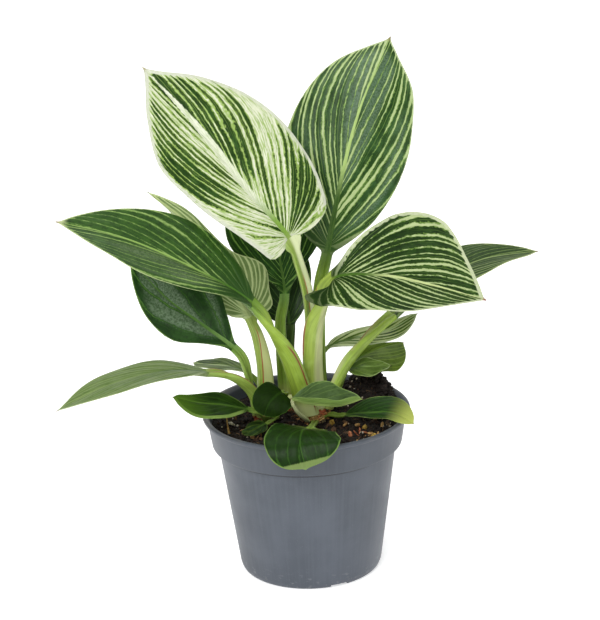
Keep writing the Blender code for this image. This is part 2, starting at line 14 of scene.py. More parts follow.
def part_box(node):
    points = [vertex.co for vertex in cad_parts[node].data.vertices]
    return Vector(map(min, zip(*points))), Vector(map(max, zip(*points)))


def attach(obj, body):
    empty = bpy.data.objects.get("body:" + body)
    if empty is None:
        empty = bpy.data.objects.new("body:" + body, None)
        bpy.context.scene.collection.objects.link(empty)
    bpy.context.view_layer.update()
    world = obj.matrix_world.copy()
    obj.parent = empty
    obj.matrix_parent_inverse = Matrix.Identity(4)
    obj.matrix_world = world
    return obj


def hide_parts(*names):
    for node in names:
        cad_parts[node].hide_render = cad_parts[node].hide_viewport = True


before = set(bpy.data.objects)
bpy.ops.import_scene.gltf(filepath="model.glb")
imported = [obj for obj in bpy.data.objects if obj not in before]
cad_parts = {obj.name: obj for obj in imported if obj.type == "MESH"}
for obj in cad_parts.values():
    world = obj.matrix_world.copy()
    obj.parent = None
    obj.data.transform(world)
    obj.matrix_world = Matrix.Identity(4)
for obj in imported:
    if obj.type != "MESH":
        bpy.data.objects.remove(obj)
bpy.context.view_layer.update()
MM = 0.001

# ---- pot, as in the CAD model --------------------------------------------------------------------
POT_HEIGHT = 96.0
RIM_RADIUS = 60.0
RIM_LIP = 1.6
BAND_HEIGHT = 19.5
BAND_TOP_RADIUS = 57.4
BAND_LOW_RADIUS = 55.0
BODY_TOP_RADIUS = 51.4
BODY_LOW_RADIUS = 41.4
FOOT_OUTER_RADIUS = 38.8
FOOT_INNER_RADIUS = 35.6
FOOT_HEIGHT = 2.8
POT_WALL = 1.4
FLOOR_THICKNESS = 1.4
POT_SEGMENTS = 192
NOTCH_WIDTH = 11.0
NOTCH_HEIGHT = 2.0
NOTCH_ANGLES = (-67.0, 53.0, 173.0)
DRAIN_RADIUS = 2.6
DRAIN_RING = 27.0
DRAIN_COUNT = 8
SHELL_ANGLE = 35.0

# ---- soil and stems, as in the CAD model ---------------------------------------------------------
SOIL_LEVEL = 88.0
SOIL_HEAP = (38.0, 32.0, 15.5, 14.0)
SOIL_GAP = 0.3
STEMS = {
    "stem_main": (4.0, 0.0, 8.0, 103.0),
    "stem_left": (-23.0, 0.0, 5.4, 101.0),
    "stem_back": (-10.0, 16.0, 5.2, 100.0),
}
STEM_BOTTOM = 78.0

# ---- leaves, as in the CAD model -----------------------------------------------------------------
# Stalk is points from the stem to the joint, and rib goes on from the joint to the tip.  Inner is
# the way from the stalk's foot to the stem.  Face and tip_face are the ways the upper side looks at
# the joint and the tip; without tip_face they are the same.  Left and right are half widths at the
# stations along the rib, seen from the joint with the upper side up; without right they are the
# same.  Stalk size is half width and half depth at the foot, and half width at the joint.  Fold and
# curl are degrees, left and right; lobe is how far each side reaches back past the joint.
STATIONS = (0.06, 0.20, 0.40, 0.60, 0.80, 0.93)
CREASE_WIDTH = 2.2
LINE_STEPS = 24
MARGIN_STEPS = 16

LEAVES = {
    "leaf_upper_left": dict(
        stalk=[(1, 3.5, 103.6), (4, 4.5, 130), (4, 0, 160), (-1, -9, 187), (-6, -13, 203)],
        rib=[(-29, -10, 232), (-55, 0, 266), (-84, 14, 297)],
        inner=(0.3, -0.9), face=(0.30, -0.80, 0.50),
        left=(20, 24, 30.5, 33.5, 20, 6), right=(34, 41, 42, 36, 21, 6),
        stalk_size=(4.0, 2.0, 2.8), fold=(8, 10), curl=(-10, -16), lobe=(3, 5)),
    "leaf_upper_right": dict(
        stalk=[(8.3, 5.6, 103.3), (8.6, 10.2, 140), (10.5, 9.3, 168), (15, 10, 186)],
        rib=[(24, 15, 226), (36, 25, 265), (55, 38, 304)],
        inner=(-0.3, -0.9), face=(-0.25, -0.85, 0.45), tip_face=(-0.35, -0.75, 0.50),
        left=(14, 28, 37, 36, 25, 9), right=(10, 26, 36, 37, 29, 10),
        stalk_size=(4.4, 2.2, 3.3), fold=(10, 14), curl=(-8, -12)),
    "leaf_mid_right": dict(
        stalk=[(5.8, -3.9, 103.4), (4.6, -5, 130), (7, -6.5, 155), (17, -10, 177)],
        rib=[(44, -21, 182), (72, -36, 180), (100, -50, 175)],
        inner=(-0.5, 0.8), face=(-0.10, -0.35, 0.93), tip_face=(0.20, -0.40, 0.90),
        left=(8, 27, 39, 37, 20, 7), right=(26, 29, 31, 27, 16, 6),
        stalk_size=(6.2, 3.2, 6.4), fold=(26, 6), curl=(16, -14), lobe=(0, 13)),
    "leaf_mid_left": dict(
        stalk=[(0.7, -9.1, 98), (-3.8, -14, 118), (-10, -17, 138), (-28, -25, 170)],
        rib=[(-58, -32, 193), (-98, -38, 215), (-132, -42, 226)],
        inner=(0.3, 0.9), face=(0.10, -0.45, 0.90), tip_face=(0.10, -0.50, 0.85),
        left=(6, 13, 21, 24, 15, 5), right=(9, 20, 25.5, 22, 13, 5),
        stalk_size=(6.8, 3.2, 4.2), fold=(14, 14), curl=(-10, 10)),
    "leaf_behind_left": dict(
        stalk=[(-23, 0.5, 101.4), (-23, 1, 122), (-26.5, 3, 141), (-31, 4, 151.5)],
        rib=[(-44, 9, 175.5), (-62, 15, 203.5), (-86, 22, 223)],
        inner=(0.3, 0.9), face=(-0.50, 0.55, 0.65), tip_face=(-0.40, 0.50, 0.75),
        left=(21, 26, 11.5, 6.5, 6.5, 3), right=(9, 14, 18, 19, 12, 4),
        stalk_size=(5.6, 2.4, 2.5), fold=(20, 20), curl=(10, 10), lobe=(3, 0)),
    "leaf_low_left": dict(
        stalk=[(-29.5, -1.0, 96), (-32, -5, 119), (-35, -7, 131), (-40, -8, 138)],
        rib=[(-56, -9, 152), (-78, -8, 170.5), (-96, -6, 193)],
        inner=(0.9, -0.3), face=(-0.10, -0.80, 0.60),
        left=(2.6, 8.6, 17.5, 16.5, 10, 4), right=(4.5, 14, 24, 21, 13, 5),
        stalk_size=(3.2, 1.6, 2.6), curl=(-10, -10)),
    "leaf_back_centre": dict(
        stalk=[(-12, 14, 100.4), (-13, 17, 128), (-13, 22, 143), (-10, 25, 158)],
        rib=[(-12, 29, 177), (-16, 39, 204), (-20, 49, 229)],
        inner=(0.0, -1.0), face=(0.0, -0.90, 0.40), tip_face=(0.0, -0.80, 0.50),
        left=(4, 14, 27, 28, 18, 7),
        stalk_size=(3.8, 1.8, 2.8), fold=(14, 14), curl=(-8, -8)),
    "leaf_back_shade": dict(
        stalk=[(-8.3, 18.8, 100.6), (-9, 24, 112), (-9, 30, 124), (-8, 33, 136)],
        rib=[(-10, 40, 151), (-15, 53, 171), (-22, 70, 187)],
        inner=(0.0, -1.0), face=(0.0, -0.85, 0.50), tip_face=(0.0, -0.80, 0.60),
        left=(9, 18, 22, 21, 14, 5), right=(6, 13, 18, 18, 12, 5),
        stalk_size=(3.8, 1.8, 3.4)),
    "leaf_far_right": dict(
        stalk=[(13.6, 0.8, 97), (19, 4, 112), (30, 12, 127), (52, 24, 144)],
        rib=[(75, 34, 157), (105, 44, 168), (140, 54, 169)],
        inner=(-0.7, 0.4), face=(-0.30, -0.12, 0.95), tip_face=(0.10, -0.20, 0.95),
        left=(7, 15, 20, 18, 10, 4),
        stalk_size=(4.8, 2.4, 4.4), fold=(14, 10), curl=(-10, -10)),
    "leaf_pale_right": dict(
        stalk=[(4.3, 8.3, 97), (7, 15, 109), (9, 20, 119), (14, 22, 125.2)],
        rib=[(31, 26, 129.2), (50, 27, 132.5), (67, 27, 142.5)],
        inner=(0.1, -1.0), face=(-0.20, -0.50, 0.85), tip_face=(-0.20, -0.60, 0.80),
        left=(3, 5, 6, 6, 4, 2), right=(3, 6, 8, 9, 8, 4),
        stalk_size=(2.0, 1.2, 1.5)),
    "leaf_olive_right": dict(
        stalk=[(9.4, 6.2, 95), (15, 15, 103), (20, 20, 108), (24, 23, 112)],
        rib=[(33, 28, 116), (45, 34, 119), (59, 40, 120)],
        inner=(-0.7, -0.6), face=(0.0, -0.50, 0.85), tip_face=(0.0, -0.60, 0.80),
        left=(4, 6.5, 6.5, 4.5, 2.2, 1), right=(8, 15, 19, 21, 17, 9),
        stalk_size=(2.2, 1.2, 1.6)),
    "leaf_small_right": dict(
        stalk=[(11.2, 4.4, 91.5), (18, 11, 100), (22, 13, 109), (25, 13, 114.5)],
        rib=[(33, 13, 115.5), (41, 13, 115.5), (50, 13, 116)],
        inner=(-0.8, -0.4), face=(0.0, -0.50, 0.85), tip_face=(0.0, -0.60, 0.80),
        left=(2, 4, 6, 5, 3, 1), right=(4, 7, 8, 7, 4, 2),
        stalk_size=(1.8, 1.1, 1.4)),
    "leaf_yellow_tip": dict(
        stalk=[(10.6, -4.8, 93), (14, -8.5, 95.5), (18, -12, 96), (22, -14, 97)],
        rib=[(36, -20, 100), (49, -26, 101.5), (60.5, -32.5, 97)],
        inner=(-0.7, 0.5), face=(0.0, -0.40, 0.90), tip_face=(0.30, -0.50, 0.85),
        left=(4, 9, 12.5, 12.5, 9, 4.5), right=(2, 3, 4.5, 6, 5.5, 2.8),
        stalk_size=(2.2, 1.2, 1.5), fold=(8, 8), curl=(-10, -10)),
    "leaf_boat_front": dict(
        stalk=[(0.4, -7.6, 91.5), (-0.5, -18.5, 97), (-5, -27, 105), (-7.5, -32.5, 114.5)],
        rib=[(1, -34, 112.8), (17, -34, 110.2), (32, -32, 113)],
        inner=(0.3, 0.9), face=(0.0, -0.30, 0.95),
        left=(5, 11, 14, 13, 8.5, 4), right=(3, 5.5, 6.4, 6.6, 6.2, 4),
        stalk_size=(2.0, 1.2, 1.2), fold=(40, 70)),
    "leaf_round_front": dict(
        stalk=[(4.8, -8.0, 91.5), (4.5, -20, 95), (3.5, -30, 98), (1.5, -38.5, 99)],
        rib=[(-2.5, -51, 103.1), (-4, -64, 100.4), (-1.5, -71.5, 87.9)],
        inner=(0.0, 1.0), face=(-0.10, -0.30, 0.94), tip_face=(-0.04, -0.90, 0.30),
        left=(9, 14.5, 19.5, 22.5, 20.5, 13), right=(11.5, 16.5, 19.5, 20, 16.5, 10.5),
        stalk_size=(2.2, 1.3, 1.8), fold=(4, 4), curl=(-6, -10), lobe=(4, 4)),
    "leaf_round_small": dict(
        stalk=[(-17.2, -1.5, 96), (-13, -8, 105), (-11, -15, 111.5), (-13, -20, 114.5)],
        rib=[(-17, -25, 114), (-21, -28, 110.5), (-24, -29, 103.5)],
        inner=(-0.8, 0.5), face=(0.0, -0.70, 0.70), tip_face=(0.0, -0.90, 0.40),
        left=(8, 10.5, 10.8, 10.3, 8.3, 5.3), right=(7, 10, 10.8, 10.3, 8.3, 5.3),
        stalk_size=(1.8, 1.1, 1.4), fold=(5, 5), curl=(-10, -10)),
    "leaf_front_left": dict(
        stalk=[(-22.6, -5.9, 91.5), (-24.5, -13, 98), (-28, -17.5, 102), (-33, -19.5, 104.5)],
        rib=[(-46, -26, 110), (-60, -33.5, 115), (-74.5, -40, 121.5)],
        inner=(-0.2, 0.9), face=(0.10, -0.50, 0.85), tip_face=(0.0, -0.60, 0.80),
        left=(3, 7, 11, 12, 10, 5.5), right=(3, 6.5, 8, 6.5, 3.5, 2),
        stalk_size=(2.2, 1.3, 1.8), curl=(-5, -5)),
    "leaf_drooping_left": dict(
        stalk=[(-25.1, -6.1, 96), (-31, -11, 113), (-42, -18, 125), (-55, -24, 130)],
        rib=[(-78, -34, 135), (-108, -45, 132), (-138, -55, 121)],
        inner=(0.4, 0.9), face=(0.0, -0.10, 0.98), tip_face=(-0.20, -0.20, 0.95),
        left=(6, 13, 17, 16, 10, 4), right=(6, 12, 15, 14, 9, 3),
        stalk_size=(4.4, 2.0, 3.2), fold=(10, 4), curl=(-5, -10)),
    "leaf_thin_left": dict(
        stalk=[(-23, 6.0, 96), (-26, 8, 108), (-30, 9, 113.5), (-34, 10, 116.5)],
        rib=[(-43, 14, 118.5), (-55, 18, 118.5), (-65, 22, 118.5)],
        inner=(0.0, -1.0), face=(0.0, -0.06, 0.99),
        left=(3, 6, 8, 8, 6.5, 3.5),
        stalk_size=(2.0, 1.2, 1.5), fold=(5, 5)),
    "leaf_on_soil": dict(
        stalk=[(-18.9, -3.9, 92.5), (-16.5, -9, 95), (-19, -14, 95.5), (-23, -17, 94.5)],
        rib=[(-27, -20, 94), (-31, -24, 93), (-37, -28, 93)],
        inner=(-0.7, 0.6), face=(0.0, -0.40, 0.90),
        left=(3, 5, 5, 5, 3, 2),
        stalk_size=(1.6, 1.0, 1.2), fold=(5, 5)),
}


# ---- small helpers -------------------------------------------------------------------------------
def stack(*parts):
    """Arrays side by side in a new last axis."""
    return np.stack(parts, axis=-1)


def full_turn(count):
    """Angles of evenly spaced places round a circle."""
    return np.linspace(0.0, 2.0 * math.pi, count, endpoint=False)


def unit(v):
    """The vectors at length one."""
    v = np.asarray(v, float)
    return v / np.maximum(1e-9, np.linalg.norm(v, axis=-1, keepdims=True))


def smooth_step(x):
    """A soft change from 0 to 1 as x does."""
    x = np.clip(x, 0.0, 1.0)
    return x * x * (3.0 - 2.0 * x)


def span(a, b, c, d, n, last):
    """One centripetal Catmull-Rom span from b to c."""
    t1 = max(1e-6, np.linalg.norm(b - a)) ** 0.5
    t2 = t1 + max(1e-6, np.linalg.norm(c - b)) ** 0.5
    t3 = t2 + max(1e-6, np.linalg.norm(d - c)) ** 0.5
    out = []
    for k in range(n + (1 if last else 0)):
        t = t1 + (t2 - t1) * k / n
        a1 = (t1 - t) / t1 * a + t / t1 * b
        a2 = (t2 - t) / (t2 - t1) * b + (t - t1) / (t2 - t1) * c
        a3 = (t3 - t) / (t3 - t2) * c + (t - t2) / (t3 - t2) * d
        b1 = (t2 - t) / t2 * a1 + t / t2 * a2
        b2 = (t3 - t) / (t3 - t1) * a2 + (t - t1) / (t3 - t1) * a3
        out.append((t2 - t) / (t2 - t1) * b1 + (t - t1) / (t2 - t1) * b2)
    return out


def spline(points, n):
    """A dense smooth line through the points."""
    p = [np.asarray(q, float) for q in points]
    p = [2 * p[0] - p[1]] + p + [2 * p[-1] - p[-2]]
    out = []
    for i in range(1, len(p) - 2):
        out += span(p[i - 1], p[i], p[i + 1], p[i + 2], n, i == len(p) - 3)
    return np.array(out)


def measured(line):
    """A line with its running length."""
    step = np.linalg.norm(np.diff(line, axis=0), axis=1)
    return line, np.concatenate([[0.0], np.cumsum(step)])


def at_length(line, run, s):
    """Places on a measured line at lengths s."""
    return np.stack([np.interp(s, run, line[:, k]) for k in range(line.shape[1])], axis=-1)


def linear(colour):
    """A colour given as 0-255 sRGB, as linear light."""
    c = np.asarray(colour, float) / 255.0
    c = np.where(c <= 0.04045, c / 12.92, ((c + 0.055) / 1.055) ** 2.4)
    return (float(c[0]), float(c[1]), float(c[2]), 1.0)


def add_mesh(name, points, faces, angle=50.0):
    """A smooth-shaded mesh object from points in millimetres."""
    mesh = bpy.data.meshes.new(name)
    mesh.from_pydata((np.asarray(points, float) * MM).tolist(), [], faces)
    mesh.validate()
    obj = bpy.data.objects.new(name, mesh)
    bpy.context.scene.collection.objects.link(obj)
    mesh.shade_smooth()
    mesh.set_sharp_from_angle(angle=math.radians(angle))
    return obj


def set_uv(obj, name, values):
    """A UV map from one pair of numbers a point."""
    mesh = obj.data
    corner = np.zeros(len(mesh.loops), np.int32)
    mesh.loops.foreach_get("vertex_index", corner)
    layer = mesh.uv_layers.new(name=name)
    layer.data.foreach_set("uv", np.asarray(values, np.float32)[corner].ravel())


def keep(obj, material, slot, *nodes):
    """A finished piece: its material, unless it has its own, the one body and its CAD nodes."""
    if material:
        obj.data.materials.append(material)
    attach(obj, "root")
    if nodes:
        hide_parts(*nodes)


# ---- material trees ------------------------------------------------------------------------------
class Tree:
    """One material and short ways to add nodes to it."""

    def __init__(self, name):
        self.material = bpy.data.materials.new(name)
        self.material.use_nodes = True
        self.nodes = self.material.node_tree.nodes
        self.links = self.material.node_tree.links
        self.shader = self.nodes["Principled BSDF"]

    def put(self, socket, value):
        """A socket joined to another, or set to a plain value."""
        if isinstance(value, bpy.types.NodeSocket):
            self.links.new(value, socket)
        else:
            socket.default_value = value

    def filled(self, node, values):
        """The first output of a node, with the values in its first sockets."""
        for socket, value in zip(node.inputs, values):
            self.put(socket, value)
        return node.outputs[0]

    def math(self, operation, a, b=0.0, c=0.0):
        """One sum of up to three values."""
        node = self.nodes.new("ShaderNodeMath")
        node.operation = operation
        return self.filled(node, (a, b, c))

    def times(self, a, b):
        """One value times another."""
        return self.math("MULTIPLY", a, b)

    def scaled(self, a, factor, offset):
        """A value times the factor, plus the offset."""
        return self.math("MULTIPLY_ADD", a, factor, offset)

    def minus(self, a, b):
        """One value less another."""
        return self.math("SUBTRACT", a, b)

    def size(self, a):
        """A value without its sign."""
        return self.math("ABSOLUTE", a)

    def step(self, value, low, high, start=0.0, end=1.0):
        """A smooth change from start to end as the value goes from low to high."""
        node = self.nodes.new("ShaderNodeMapRange")
        node.interpolation_type = "SMOOTHSTEP"
        return self.filled(node, (value, low, high, start, end))

    def within(self, factor, value, start, end, soft):
        """The factor, only where the value lies between start and end."""
        factor = self.times(factor, self.step(value, start, start + soft))
        return self.times(factor, self.step(value, end, end - soft))

    def uv(self, name):
        """The two numbers of a UV map."""
        source = self.nodes.new("ShaderNodeUVMap")
        source.uv_map = name
        return self.parts(source.outputs[0])[:2]

    def parts(self, vector):
        """The three numbers of a vector."""
        split = self.nodes.new("ShaderNodeSeparateXYZ")
        self.links.new(vector, split.inputs[0])
        return split.outputs[0], split.outputs[1], split.outputs[2]

    def facing(self, way):
        """How far the surface faces this way on the piece, from -1 to 1."""
        node = self.nodes.new("ShaderNodeVectorMath")
        node.operation = "DOT_PRODUCT"
        self.put(node.inputs[0], self.nodes.new("ShaderNodeTexCoord").outputs["Normal"])
        node.inputs[1].default_value = way
        return node.outputs["Value"]

    def place(self):
        """Place on the piece, in metres."""
        return self.nodes.new("ShaderNodeTexCoord").outputs["Object"]

    def vector(self, x, y, z):
        """Three numbers as a vector."""
        return self.filled(self.nodes.new("ShaderNodeCombineXYZ"), (x, y, z))

    def noise_at(self, x, y, z, detail=2.0, rough=0.5):
        """Noise over three values."""
        return self.noise(self.vector(x, y, z), 1.0, detail, rough)

    def noise(self, vector, scale, detail=2.0, rough=0.5):
        """Noise of the scale over a vector, near 0.5."""
        node = self.nodes.new("ShaderNodeTexNoise")
        self.put(node.inputs["Vector"], vector)
        node.inputs["Scale"].default_value = scale
        node.inputs["Detail"].default_value = detail
        node.inputs["Roughness"].default_value = rough
        return node.outputs["Fac"]

    def mix(self, factor, a, b):
        """A colour between two, each from a node or given as 0-255 sRGB."""
        node = self.nodes.new("ShaderNodeMix")
        node.data_type = "RGBA"
        self.put(node.inputs[0], factor)
        for socket, colour in ((node.inputs[6], a), (node.inputs[7], b)):
            made = isinstance(colour, bpy.types.NodeSocket)
            self.put(socket, colour if made else linear(colour))
        return node.outputs[2]

    def over(self, colour, tone, value, low, high, strength=1.0):
        """The colour with the tone laid over it as the value goes from low to high."""
        return self.mix(self.step(value, low, high, 0.0, strength), colour, tone)

    def bump(self, height, strength, distance, before=None):
        """A normal raised by the height, on top of the one before."""
        node = self.nodes.new("ShaderNodeBump")
        node.inputs["Strength"].default_value = strength
        node.inputs["Distance"].default_value = distance
        self.put(node.inputs["Height"], height)
        if before is not None:
            self.links.new(before, node.inputs["Normal"])
        return node.outputs[0]

    def finish(self, colour, rough, normal, specular, coat=0.0, coat_rough=0.3):
        """The material, with all its values on the shader."""
        values = {
            "Base Color": colour, "Roughness": rough, "Metallic": 0.0, "Specular IOR Level": specular,
            "Coat Weight": coat, "Coat Roughness": coat_rough,
        }
        for name, value in values.items():
            self.put(self.shader.inputs[name], value)
        if normal is not None:
            self.put(self.shader.inputs["Normal"], normal)
        return self.material


# ---- leaf shape ----------------------------------------------------------------------------------
# Vein_start and vein_end are shares of the margin's turn that a vein takes at the rib and at the
# margin.  The skins are the blade's thickness inside and at the rim, in millimetres.
VEIN_START = 0.30
VEIN_END = 0.75
FAN_AT = np.linspace(0.0, 1.0, 500)
BLADE_SKIN = 0.55
RIM_SKIN = 0.26
MARGIN_WAVES = 2.0
RIB_CHANNEL = 0.35
STALK_GROOVE = 0.9
FOOT_RUNS_ON = 1.6


def calm(values, reach):
    """The lowest value nearby, smoothed."""
    window = range(2 * reach + 1)
    for mix in (np.min, np.mean):
        wide = np.pad(values, reach, mode="edge")
        values = mix([wide[k:k + len(values)] for k in window], axis=0)
    return values


class Leaf:
    """One leaf: a stalk from the crown to the joint and a blade on its rib."""

    def __init__(self, stalk, rib, inner, face, left, stalk_size, right=None, tip_face=None,
                 fold=(10, 10), curl=(0, 0), lobe=(0, 0)):
        right = right or left
        self.line, self.run = measured(spline(stalk + rib, LINE_STEPS))
        self.joint = self.run[(len(stalk) - 1) * LINE_STEPS]
        self.total = self.run[-1]
        self.blade = self.total - self.joint
        self.face = unit(face)
        self.tip_face = unit(tip_face or face)
        self.halves = (float(max(left)), float(max(right)))
        self.size = stalk_size
        self.fold = fold
        self.curl = curl
        self.inner = unit((inner[0], inner[1], 0.3))
        self.edges = [self.outline(left, lobe[0]), self.outline(right, lobe[1])]
        self.first = [self.sinus(0, lobe[0]), self.sinus(1, lobe[1])]
        self.fans = [self.fan(0), self.fan(1)]

    def outline(self, widths, lobe):
        """One margin from the joint to the tip as (along, across)."""
        points = [(0.0, 0.0)]
        if lobe > 0:
            w = widths[1]
            points += [(-lobe * 0.8, 0.22 * w), (-lobe, 0.45 * w), (-lobe * 0.45, 0.70 * w)]
        points += [(k * self.blade, w) for k, w in zip(STATIONS, widths)]
        points += [(0.985 * self.blade, 0.12 * widths[-1]), (self.blade, 0.0)]
        return measured(spline(points, MARGIN_STEPS))

    def behind(self, along, across):
        """Flat places behind the joint drawn forward beside the stalk."""
        return np.where(along < 0.0, along * smooth_step(across / self.size[2] - 1.0), along)

    def sinus(self, i, lobe):
        """Share of the margin that runs back beside the stalk, before the first vein row."""
        if lobe <= 0:
            return 0.0
        edge, run = self.edges[i]
        along = self.behind(edge[:, 0], edge[:, 1])
        back = np.where(edge[:, 1] > 1.5, np.arctan2(-along, edge[:, 1]), -9.0)
        return float(run[int(np.argmax(back))] / run[-1])

    def frames(self, s):
        """Point, tangent, side and upper-face direction at lengths s."""
        s = np.asarray(s, float)
        p = at_length(self.line, self.run, s)
        a = at_length(self.line, self.run, np.maximum(0.0, s - 1.5))
        b = at_length(self.line, self.run, np.minimum(self.total, s + 1.5))
        t = unit(b - a)
        k = smooth_step((s / self.joint - 0.3) / 0.7)[..., None]
        m = np.clip((s - self.joint) / self.blade, 0.0, 1.0)[..., None]
        low = self.inner * (1 - k) + self.face * k
        high = self.face * (1 - m) + self.tip_face * m
        up = np.where((s <= self.joint)[..., None], low, high)
        up = unit(up - t * np.sum(up * t, axis=-1, keepdims=True))
        return p, t, np.cross(t, up), up

    def stalk_radii(self, s):
        """Half width and half depth of the stalk at lengths s."""
        k = np.minimum(1.0, s / self.joint)
        wide, deep, top = self.size
        return top + (wide - top) * (1.0 - k) ** 0.8, deep + (0.9 * top - deep) * smooth_step(k * 1.6)

    def margin(self, i, g):
        """Where the vein rows g of half i meet the margin, held off the rib near the joint."""
        edge, run = self.edges[i]
        e = self.first[i] + (1.0 - self.first[i]) * g
        m = at_length(edge, run, run[-1] * e)
        stub = self.size[2] * np.maximum(0.06, (1 - e) ** 1.5)
        m[:, 1] = np.hypot(np.maximum(m[:, 1], 0.0), stub)
        return m

    def fan(self, i):
        """Where the vein rows of half i leave the rib, and the ways they start and end, at FAN_AT."""
        g = FAN_AT
        m = self.margin(i, g)
        way = unit(np.gradient(m, axis=0))
        meet = m[:, 0] - m[:, 1] * way[:, 0] / np.maximum(way[:, 1], 0.05)
        clear = np.where(way[:, 1] > 0.05, meet + 0.05 * self.blade * smooth_step(g / 0.08), 0.0)
        start = self.blade * (0.02 * g + 0.50 * g ** 7 + 0.48 * g ** 30)
        start = np.maximum.accumulate(np.maximum(start, np.minimum(clear, 0.6 * m[:, 0])))
        chord = np.minimum.accumulate(np.arctan2(m[:, 1], m[:, 0] - start))
        turn = np.clip(chord - np.arctan2(way[:, 1], way[:, 0]), 0.0, 1.1)
        turn = calm(turn * np.interp(g, (0.0, 0.9, 1.0), (1.0, 1.0, 0.2)), 24)
        return start, np.minimum.accumulate(chord + VEIN_START * turn), chord - VEIN_END * turn

    def veins(self, i, g, t):
        """Flat places on half i for vein rows g and columns t, as two arrays of rows by columns."""
        m = self.margin(i, g)
        start, leave, arrive = (np.interp(g, FAN_AT, values) for values in self.fans[i])
        start = stack(start, 0.0 * g)
        size = np.linalg.norm(m - start, axis=-1)[:, None]
        low = start + 0.33 * size * stack(np.cos(leave), np.sin(leave))
        high = m - 0.36 * size * stack(np.cos(arrive), np.sin(arrive))
        t = np.asarray(t, float)[None, :, None]
        u = 1.0 - t
        out = u ** 3 * start[:, None] + 3 * u * u * t * low[:, None] + 3 * u * t * t * high[:, None]
        out = out + t ** 3 * m[:, None]
        return self.behind(out[..., 0], out[..., 1]), out[..., 1]

    def spread(self, i, g):
        """Running distance between the vein rows of half i, square to the veins at mid width."""
        along, across = self.veins(i, g, (0.45, 0.5, 0.55))
        line = stack(along[:, 1], across[:, 1])
        way = unit(stack(along[:, 2] - along[:, 0], across[:, 2] - across[:, 0]))
        step = np.diff(line, axis=0)
        square = np.abs(step[:, 0] * way[1:, 1] - step[:, 1] * way[1:, 0])
        return np.concatenate([[0.0], np.cumsum(square)])

    def rows(self, count):
        """Vein rows, close where the veins or the margins spread."""
        g = np.linspace(0.0, 1.0, 600)
        weight = self.spread(0, g) + self.spread(1, g) + 0.35 * self.blade * g
        weight = weight + 0.2 * sum(np.interp(g, FAN_AT, fan[0]) for fan in self.fans)
        return np.interp(np.linspace(0.0, weight[-1], count), weight, g)

    def place(self, along, across):
        """Flat places in space and the upper-face directions there."""
        s = self.joint + np.clip(along, 0.0, self.blade)
        p = self.frames(s)[0]
        reach = 0.10 * self.blade
        flat = self.joint + reach * smooth_step(np.hypot(along, across) / reach)
        t, side, up = self.frames(np.maximum(s, flat))[1:]
        p = p + t * np.minimum(along, 0.0)[..., None]
        right = across >= 0
        sign = np.where(right, 1.0, -1.0)[..., None]
        v = np.abs(across)
        th = np.radians(np.where(right, self.fold[1], self.fold[0]))
        k = np.radians(np.where(right, self.curl[1] / self.halves[1], self.curl[0] / self.halves[0]))
        k = np.where(np.abs(k) < 1e-6, 1e-6, k)
        y = ((np.sin(th + k * v) - np.sin(th)) / k)[..., None]
        z = ((np.cos(th) - np.cos(th + k * v)) / k)[..., None]
        angle = ((th + k * v) * smooth_step(v / CREASE_WIDTH))[..., None]
        normal = up * np.cos(angle) - side * np.sin(angle) * sign
        return p + side * y * sign + up * z, unit(normal)

    def rim_distance(self, i, along, across):
        """Distance from flat places on half i to its margin."""
        edge = self.edges[i][0][::3]
        flat = stack(along.ravel(), np.abs(across).ravel())
        gap = np.linalg.norm(flat[:, None, :] - edge[None, :, :], axis=-1).min(axis=1)
        return gap.reshape(along.shape)

    def ridge(self, along, across):
        """Depth of the rib under the blade."""
        k = np.clip(along / self.blade, 0.0, 1.0)
        deep = self.stalk_radii(self.joint)[1] * 1.15 * (1 - k) ** 1.3
        wide = self.size[2] * (0.30 + 0.55 * (1 - k)) * 0.9
        return deep * np.exp(-(across / wide) ** 2)


def blade_rings(leaf, look, rows, half):
    """Points and maps of the blade, one ring of top and under points a vein row."""
    g = leaf.rows(rows)
    t = np.linspace(0.0, 1.0, half + 1)
    sides = []
    for i, sign in ((0, -1.0), (1, 1.0)):
        along, across = leaf.veins(i, g, t)
        rim = leaf.rim_distance(i, along, across)
        rim[:, -1] = 0.0
        v = np.repeat(leaf.spread(i, g)[:, None], half + 1, axis=1)
        sides.append((along, across * sign, rim, v, np.repeat(sign * t[None, :], len(g), axis=0)))
    join = [np.concatenate([a[:, :0:-1], b], axis=1) for a, b in zip(*sides)]
    along, across, rim, v, t = join
    across = np.where(t < 0, np.minimum(across, -1e-6), across)
    point, normal = leaf.place(along, across)
    k = np.clip(along / leaf.blade, 0.0, 1.0)
    skin = RIM_SKIN + (BLADE_SKIN - RIM_SKIN) * smooth_step(rim / 2.5)
    seed = look["seed"]
    quilt = np.sin(v * 1.15 + seed) * np.sin(np.abs(t) * math.pi) ** 0.7
    quilt = quilt * 0.10 * smooth_step(np.abs(across) / 6.0)
    wave = np.sin(along / leaf.blade * MARGIN_WAVES * 6.283 + seed * 2.1 + (t > 0) * 1.7)
    wave = wave * look["ripple"] * smooth_step(1.0 - rim / 9.0) * np.sin(k * math.pi) ** 0.5
    channel = RIB_CHANNEL * np.exp(-(across / (0.5 + leaf.size[2] * 0.6 * (1 - k))) ** 2)
    lift = (quilt + wave)[..., None]
    top = point + normal * (lift + (skin / 2 - channel * (1 - k) ** 0.7)[..., None])
    low = point + normal * (lift - (skin / 2 + leaf.ridge(along, across))[..., None])
    maps = {
        "VeinMap": stack(t, v / 100.0),
        "FlatMap": stack(across / 100.0, along / 100.0),
        "EdgeMap": stack(rim / 100.0, k),
    }
    return top, low, maps


